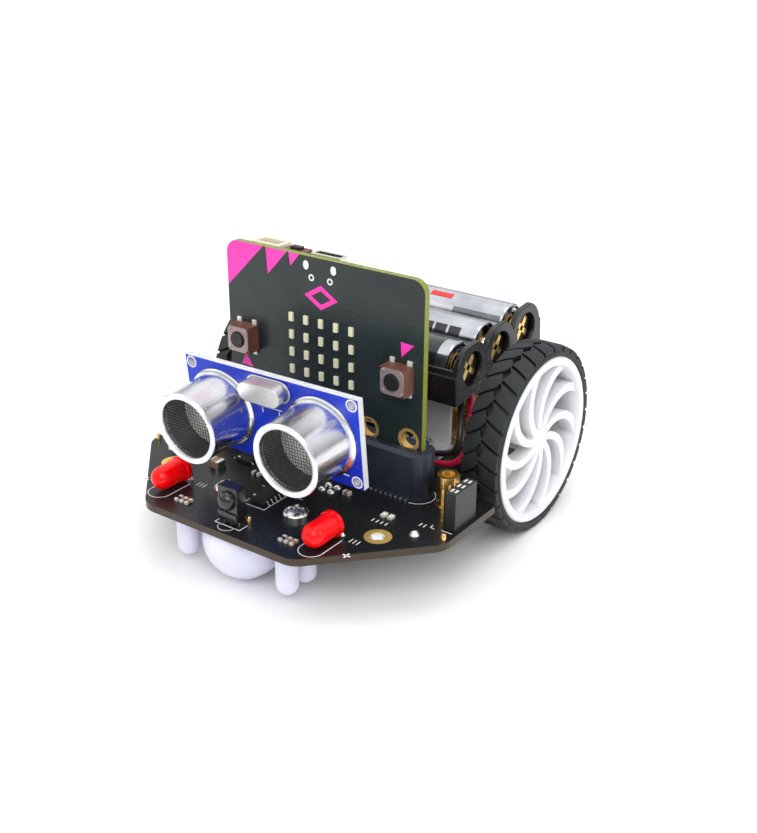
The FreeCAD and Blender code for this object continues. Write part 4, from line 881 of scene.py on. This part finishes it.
def board_print():
    """White print, gold rings and tinned joints on the chassis board."""
    z = BOARD_TOP
    builder = Builder()

    def line(points, width=0.2):
        flat_line(builder, points, width, z)

    for side in (1, -1):
        x = side * LAMP_X
        line([(x - 2.65, -31.6), (x - 2.65, -37.9)] + arc_points(x, -37.9, 2.65, 180, 360)
             + [(x + 2.65, -31.6)], 0.22)
        for k in range(3):
            mark_x = x + 4.1 + k * 0.9
            line([(mark_x, -31.2), (mark_x, -29.8)])
        line([(x + side * 6.0, -35.6), (x + side * 7.6, -35.6)], 0.35)
        line([(x + side * 6.8, -36.4), (x + side * 6.8, -34.8)], 0.35)
    line([(-2.4, -38.2), (-2.4, -40.6), (4.2, -40.6), (4.2, -38.2)])
    line(arc_points(0.9, -40.6, 1.9, 180, 360))
    line(arc_points(24.9, -7.0, 3.75, -88, 80))
    line(arc_points(-24.9, -7.0, 3.75, 268, 100))
    for side in (1, -1):
        line([(side * 34.4, -15.8), (side * 34.4, -16.8), (side * 35.4, -17.0)])
        line([(side * 37.0, -16.6), (side * 39.4, -16.6)])
        for k in range(2):
            line([(side * (32.2 + k), -17.6), (side * (32.2 + k), -16.4)], 0.22)
    for k in range(4):
        line([(23.2 + k * 1.1, -21.6), (23.2 + k * 1.1, -20.6)], 0.22)
    line([(-3.0, -31.2), (-3.0, -22.0), (2.6, -22.0), (2.6, -31.2), (-3.0, -31.2)], 0.16)
    line([(-4.9, -23.0), (6.3, -23.0)], 0.16)
    line(arc_points(0, 36.2, 5.0, 0, 360, 40))
    line([(-18.0, 37.4), (-8.0, 37.4), (-8.0, 41.9)])
    builder.piece("board_silkscreen", "chassis")

    builder = Builder()
    up, down = (0, 0, 1), (0, 0, -1)
    low = BOARD_LOW.z
    for side in (1, -1):
        x = side * MOUNT_X
        for level, way in ((z, up), (low, down)):
            builder.ring(2.85, 1.58, 0, 0.05, "gold_pad", (x, MOUNT_Y, level), way, 56)
        builder.ring(1.62, 1.5, low, z, "tin", (x, MOUNT_Y, 0), up, 56)
        for post_x, post_y in POST_PLACES:
            builder.ring(2.75, 1.6, 0, 0.04, "gold", (side * post_x, post_y, z), up, 40)
    studs(builder, [(0.55, 0), (0.5, 1.2), (0.3, 1.5), (0, 1.55)], "gold",
          [(3.7, -37.0, z), (39.3, -19.6, z), (-39.3, -19.6, z)], up, 16)
    builder.piece("plated_rings", "chassis")

    builder = Builder()
    studs(builder, [(0.9, 0), (0.75, 0.25), (0.4, 0.6), (0, 0.68)], "tin",
          [(x, y, z) for x in (6.6, 8.9) for y in (-14.2, -16.6)], up, 20)
    for side in (1, -1):
        studs(builder, [(1.1, 0), (0.95, 0.35), (0.5, 0.85), (0, 0.95)], "tin",
              [(side * 33.4, -21.1, z)], up, 24)
        studs(builder, [(0.95, 0), (0.75, 0.25), (0.4, 0.8), (0.2, 1.3), (0, 1.3)], "tin",
              [(side * x, y, low) for y in PORT_ROW for x in (PORT_PIN_X, PORT_SOCKET_X)],
              down, 20)
    studs(builder, [(0.7, 0), (0.5, 0.25), (0.25, 0.6), (0, 0.62)], "tin",
          [((k - 9.5) * 2.54, y, low) for k in range(20) for y in (-12.5, -3.3)], down, 14)
    builder.piece("solder_joints", "chassis")


def controller_trim():
    """Printed marks, gold rings and contact strips of the controller board."""
    front = CONTROLLER_LOW.y
    back = CONTROLLER_HIGH.y
    left = CONTROLLER_LOW.x
    top = CONTROLLER_HIGH.z
    base = CONTROLLER_LOW.z
    upright = Matrix.Translation((0, front, 0)) @ Matrix.Rotation(math.radians(90), 4, "X")

    builder = Builder()

    def patch(outline):
        """A pink field; its outline is turned to run anticlockwise."""
        area = sum(a[0] * b[1] - b[0] * a[1] for a, b in zip(outline, outline[1:] + outline[:1]))
        if area < 0:
            outline = outline[::-1]
        builder.prism(outline, 0.0, 0.035, "pink", upright)

    patch([(left + 0.02, top - 10.5), (left + 10.4, top - 0.03)]
          + [(left + 3.0 - 3.0 * math.sin(math.radians(a)),
              top - 3.0 + 3.0 * math.cos(math.radians(a))) for a in range(0, 91, 15)])
    for start, leg in ((11.2, 5.8), (17.5, 2.9)):
        patch([(left + start, top - 0.03), (left + start + leg, top - 0.03),
               (left + start + 0.4, top - leg * 1.02)])
    patch([(-21.5, 37.4), (-19.6, 34.2), (-22.9, 34.4)])
    patch([(20.4, 49.2), (23.6, 49.0), (20.6, 45.9)])
    builder.piece("pink_marks", "chassis")

    builder = Builder()
    cx, cz = 0.0, 54.4
    outer, inner = (4.4, 2.7), (2.6, 1.5)
    for k in range(4):
        a0, a1 = math.radians(90 * k), math.radians(90 * (k + 1))
        quad = [(cx + reach[0] * math.cos(a), cz + reach[1] * math.sin(a))
                for reach, a in ((outer, a0), (outer, a1), (inner, a1), (inner, a0))]
        builder.prism(quad, 0, 0.035, "pink", upright)
    builder.piece("pink_emblem", "chassis")

    builder = Builder()

    def finger(x, half, high):
        """A gold contact strip at the board's lower edge."""
        builder.prism([(x - half, base + 0.1), (x + half, base + 0.1), (x + half, base + high),
                       (x - half, base + high)], 0, 0.04, "gold", upright)

    for x in EDGE_HOLES:
        for level, way in ((front, (0, -1, 0)), (back, (0, 1, 0))):
            builder.ring(2.6, 1.98, 0, 0.05, "gold_pad", (x, level, base + 7.0), way, 48)
        builder.ring(2.02, 1.9, front, back, "gold_pad", (x, 0, base + 7.0), (0, 1, 0), 48)
        finger(x, 2.0, 4.6)
    for k in range(33):
        x = -25.2 + k * 1.575
        if min(abs(x - hole) for hole in EDGE_HOLES) > 2.4:
            finger(x, 0.4, 4.8)
    builder.piece("edge_fingers", "chassis")

    builder = Builder()
    for x in (-3.7, 3.5):
        outline = [(x + 0.75 * math.cos(math.radians(a)), 61.0 + 1.0 * math.sin(math.radians(a)))
                   for a in range(0, 360, 20)]
        builder.prism(outline, 0, 0.25, "tin", upright)
    for x in (-2.45, 2.45):
        builder.ring(0.75, 0.4, 0, 0.05, "tin", (x, front, 58.4), (0, -1, 0), 24)
    for column in range(-2, 3):
        for line in range(5):
            for end in (1, -1):
                z = 48.7 - line * 4.0 + end * 0.82
                builder.centred((column * 4.0, front - 0.22, z), (1.0, 0.42, 0.32),
                                "solder_bright")
    builder.piece("tinned_tabs", "chassis")

    builder = Builder()
    rear = (Matrix.Translation((0, back, 0)) @ Matrix.Rotation(math.radians(-90), 4, "X")
            @ Matrix.Scale(-1, 4, (0, 1, 0)))
    flat_line(builder, [(-14, 28.5), (14, 28.5), (14, 58), (-14, 58), (-14, 28.5)], 0.14, 0, rear)
    builder.piece("controller_print", "chassis")


def buttons():
    """Face plates with corner rivets over the two button bodies, and their legs."""
    front = CONTROLLER_LOW.y
    face = front - BUTTON_HIGH
    steps = 40
    builder = Builder()
    for x in (BUTTON_X, -BUTTON_X):
        points, faces = [], []
        for level in (face - 0.22, face):
            for k in range(steps):
                angle = 2 * math.pi * k / steps
                c, s = math.cos(angle), math.sin(angle)
                reach = min(2.85 / max(abs(c), abs(s)), 3.55)
                points.append((x + 1.9 * c, level, BUTTON_Z + 1.9 * s))
                points.append((x + reach * c, level, BUTTON_Z + reach * s))
        off = 2 * steps
        for k in range(steps):
            n = (k + 1) % steps
            a, b, c, d = 2 * k, 2 * k + 1, 2 * n + 1, 2 * n
            faces += [(a, b, c, d), (a + off, d + off, c + off, b + off),
                      (b, b + off, c + off, c), (a, d, d + off, a + off)]
        builder.add(points, faces, "plate_steel")
        studs(builder, [(0.42, 0), (0.36, 0.14), (0, 0.2)], "plate_steel",
              [(x + dx, face - 0.22, BUTTON_Z + dz) for dx in (-2.2, 2.2) for dz in (-2.2, 2.2)],
              (0, -1, 0), 18)
    builder.piece("button_plates", "chassis")
    builder = Builder()
    for side in (1, -1):
        for dx in (-2.15, 2.15):
            for dz in (-1, 1):
                x, z = side * BUTTON_X + dx, BUTTON_Z + dz * 3.45
                builder.box((x - 0.55, front - 0.5, z - 0.6), (x + 0.55, front - 0.02, z + 0.6),
                            "solder_bright")
    builder.piece("button_legs", "chassis", bevel=0.08)


def leads():
    """The two battery leads along their routes from the holder to the plug."""
    routes = (
        ("red", [(22.6, 17.0, 32.03), (22.6, 17.34, 28.5), (25.5, 12.5, 26.8), (27.6, 8.6, 22.5),
                 (26.6, 6.5, 17.6), (20.5, 6.2, 16.1), (11.5, 6.2, 16.1)]),
        ("black", [(20.8, 16.6, 31.99), (20.8, 16.9, 28.9), (23.2, 11.8, 27.2), (25.4, 8.7, 23.4),
                   (25.0, 7.6, 19.4), (20.0, 7.4, 17.9), (16.0, 8.0, 16.6), (11.5, 8.0, 16.6)]),
    )
    for name, points in routes:
        data = bpy.data.curves.new("lead_" + name, "CURVE")
        data.dimensions = "3D"
        spline = data.splines.new("NURBS")
        spline.points.add(len(points) - 1)
        for slot, point in zip(spline.points, points):
            slot.co = (*(Vector(point) * MM), 1)
        spline.order_u = 3
        spline.use_endpoint_u = True
        spline.resolution_u = 10
        data.bevel_depth = 0.7 * MM
        data.bevel_resolution = 5
        data.use_fill_caps = True
        data.materials.append(MATS["wire_" + name])
        thing = put("lead_" + name, data)
        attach(thing, "chassis")
        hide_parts("battery_lead_" + name)


# ---- finishes of the CAD nodes

def dress_cad_nodes():
    """A finish and a bevel for each node that is kept as the CAD made it."""
    dress("main_board", "pcb_black")
    dress("controller_board", "pcb_controller")
    dress("sonar_board", "pcb_blue")
    plain = {
        "edge_connector": ("connector_plastic", 0.35), "edge_contacts": ("tin", 0.05),
        "sonar_socket": ("black_plastic", 0.12), "port_sockets": ("black_plastic", 0.12),
        "buzzer": ("black_plastic", 0.3), "power_switch_body": ("steel", 0.15),
        "power_switch_slider": ("black_plastic", 0.12), "line_sensors": ("chip_epoxy", 0.25),
        "underside_leds": ("white_plastic", 0.15), "caster_housing": ("caster_plastic", 0.3),
        "caster_ball": ("caster_plastic", 0), "motor_brackets": ("white_plastic", 0.3),
        "motor_cans": ("can_steel", 0.3), "motor_end_caps": ("white_plastic", 0.1),
        "gearbox_frames": ("brass", 0.06), "battery_holder": ("holder_plastic", 0.25),
        "battery_plug": ("cream_plastic", 0.25), "holder_pads": ("foam", 0.2),
        "brass_posts": ("brass", 0.2), "button_bodies": ("button_brown", 0.2),
        "button_a": ("rubber_black", 0.15), "button_b": ("rubber_black", 0.15),
        "reset_body": ("button_brown", 0.15), "reset_button": ("rubber_black", 0.1),
        "led_matrix": ("led_cream", 0.08), "usb_socket": ("steel", 0.25),
        "battery_jack": ("cream_plastic", 0.2), "controller_chips": ("chip_epoxy", 0.08),
        "sonar_pins": ("black_plastic", 0.05), "sonar_chips": ("chip_epoxy", 0.1),
    }
    for node, (material, bevel) in plain.items():
        dress(node, material, bevel)
    for name in ("right", "left"):
        dress("wheel_" + name, "white_plastic", 0.35)
        dress("output_shaft_" + name, "steel")
        dress("layshaft_gear_" + name, "brass")
        dress("motor_pinion_" + name, "brass")


stage()
dress_cad_nodes()
for wheel_name, wheel_side in (("right", 1), ("left", -1)):
    tyre(wheel_name, wheel_side)
batteries()
contact_springs()
sonar_cans()
sonar_gauze()
sonar_trim()
screws()
pins()
headlights()
receiver()
small_components()
board_chips()
board_print()
controller_trim()
buttons()
leads()
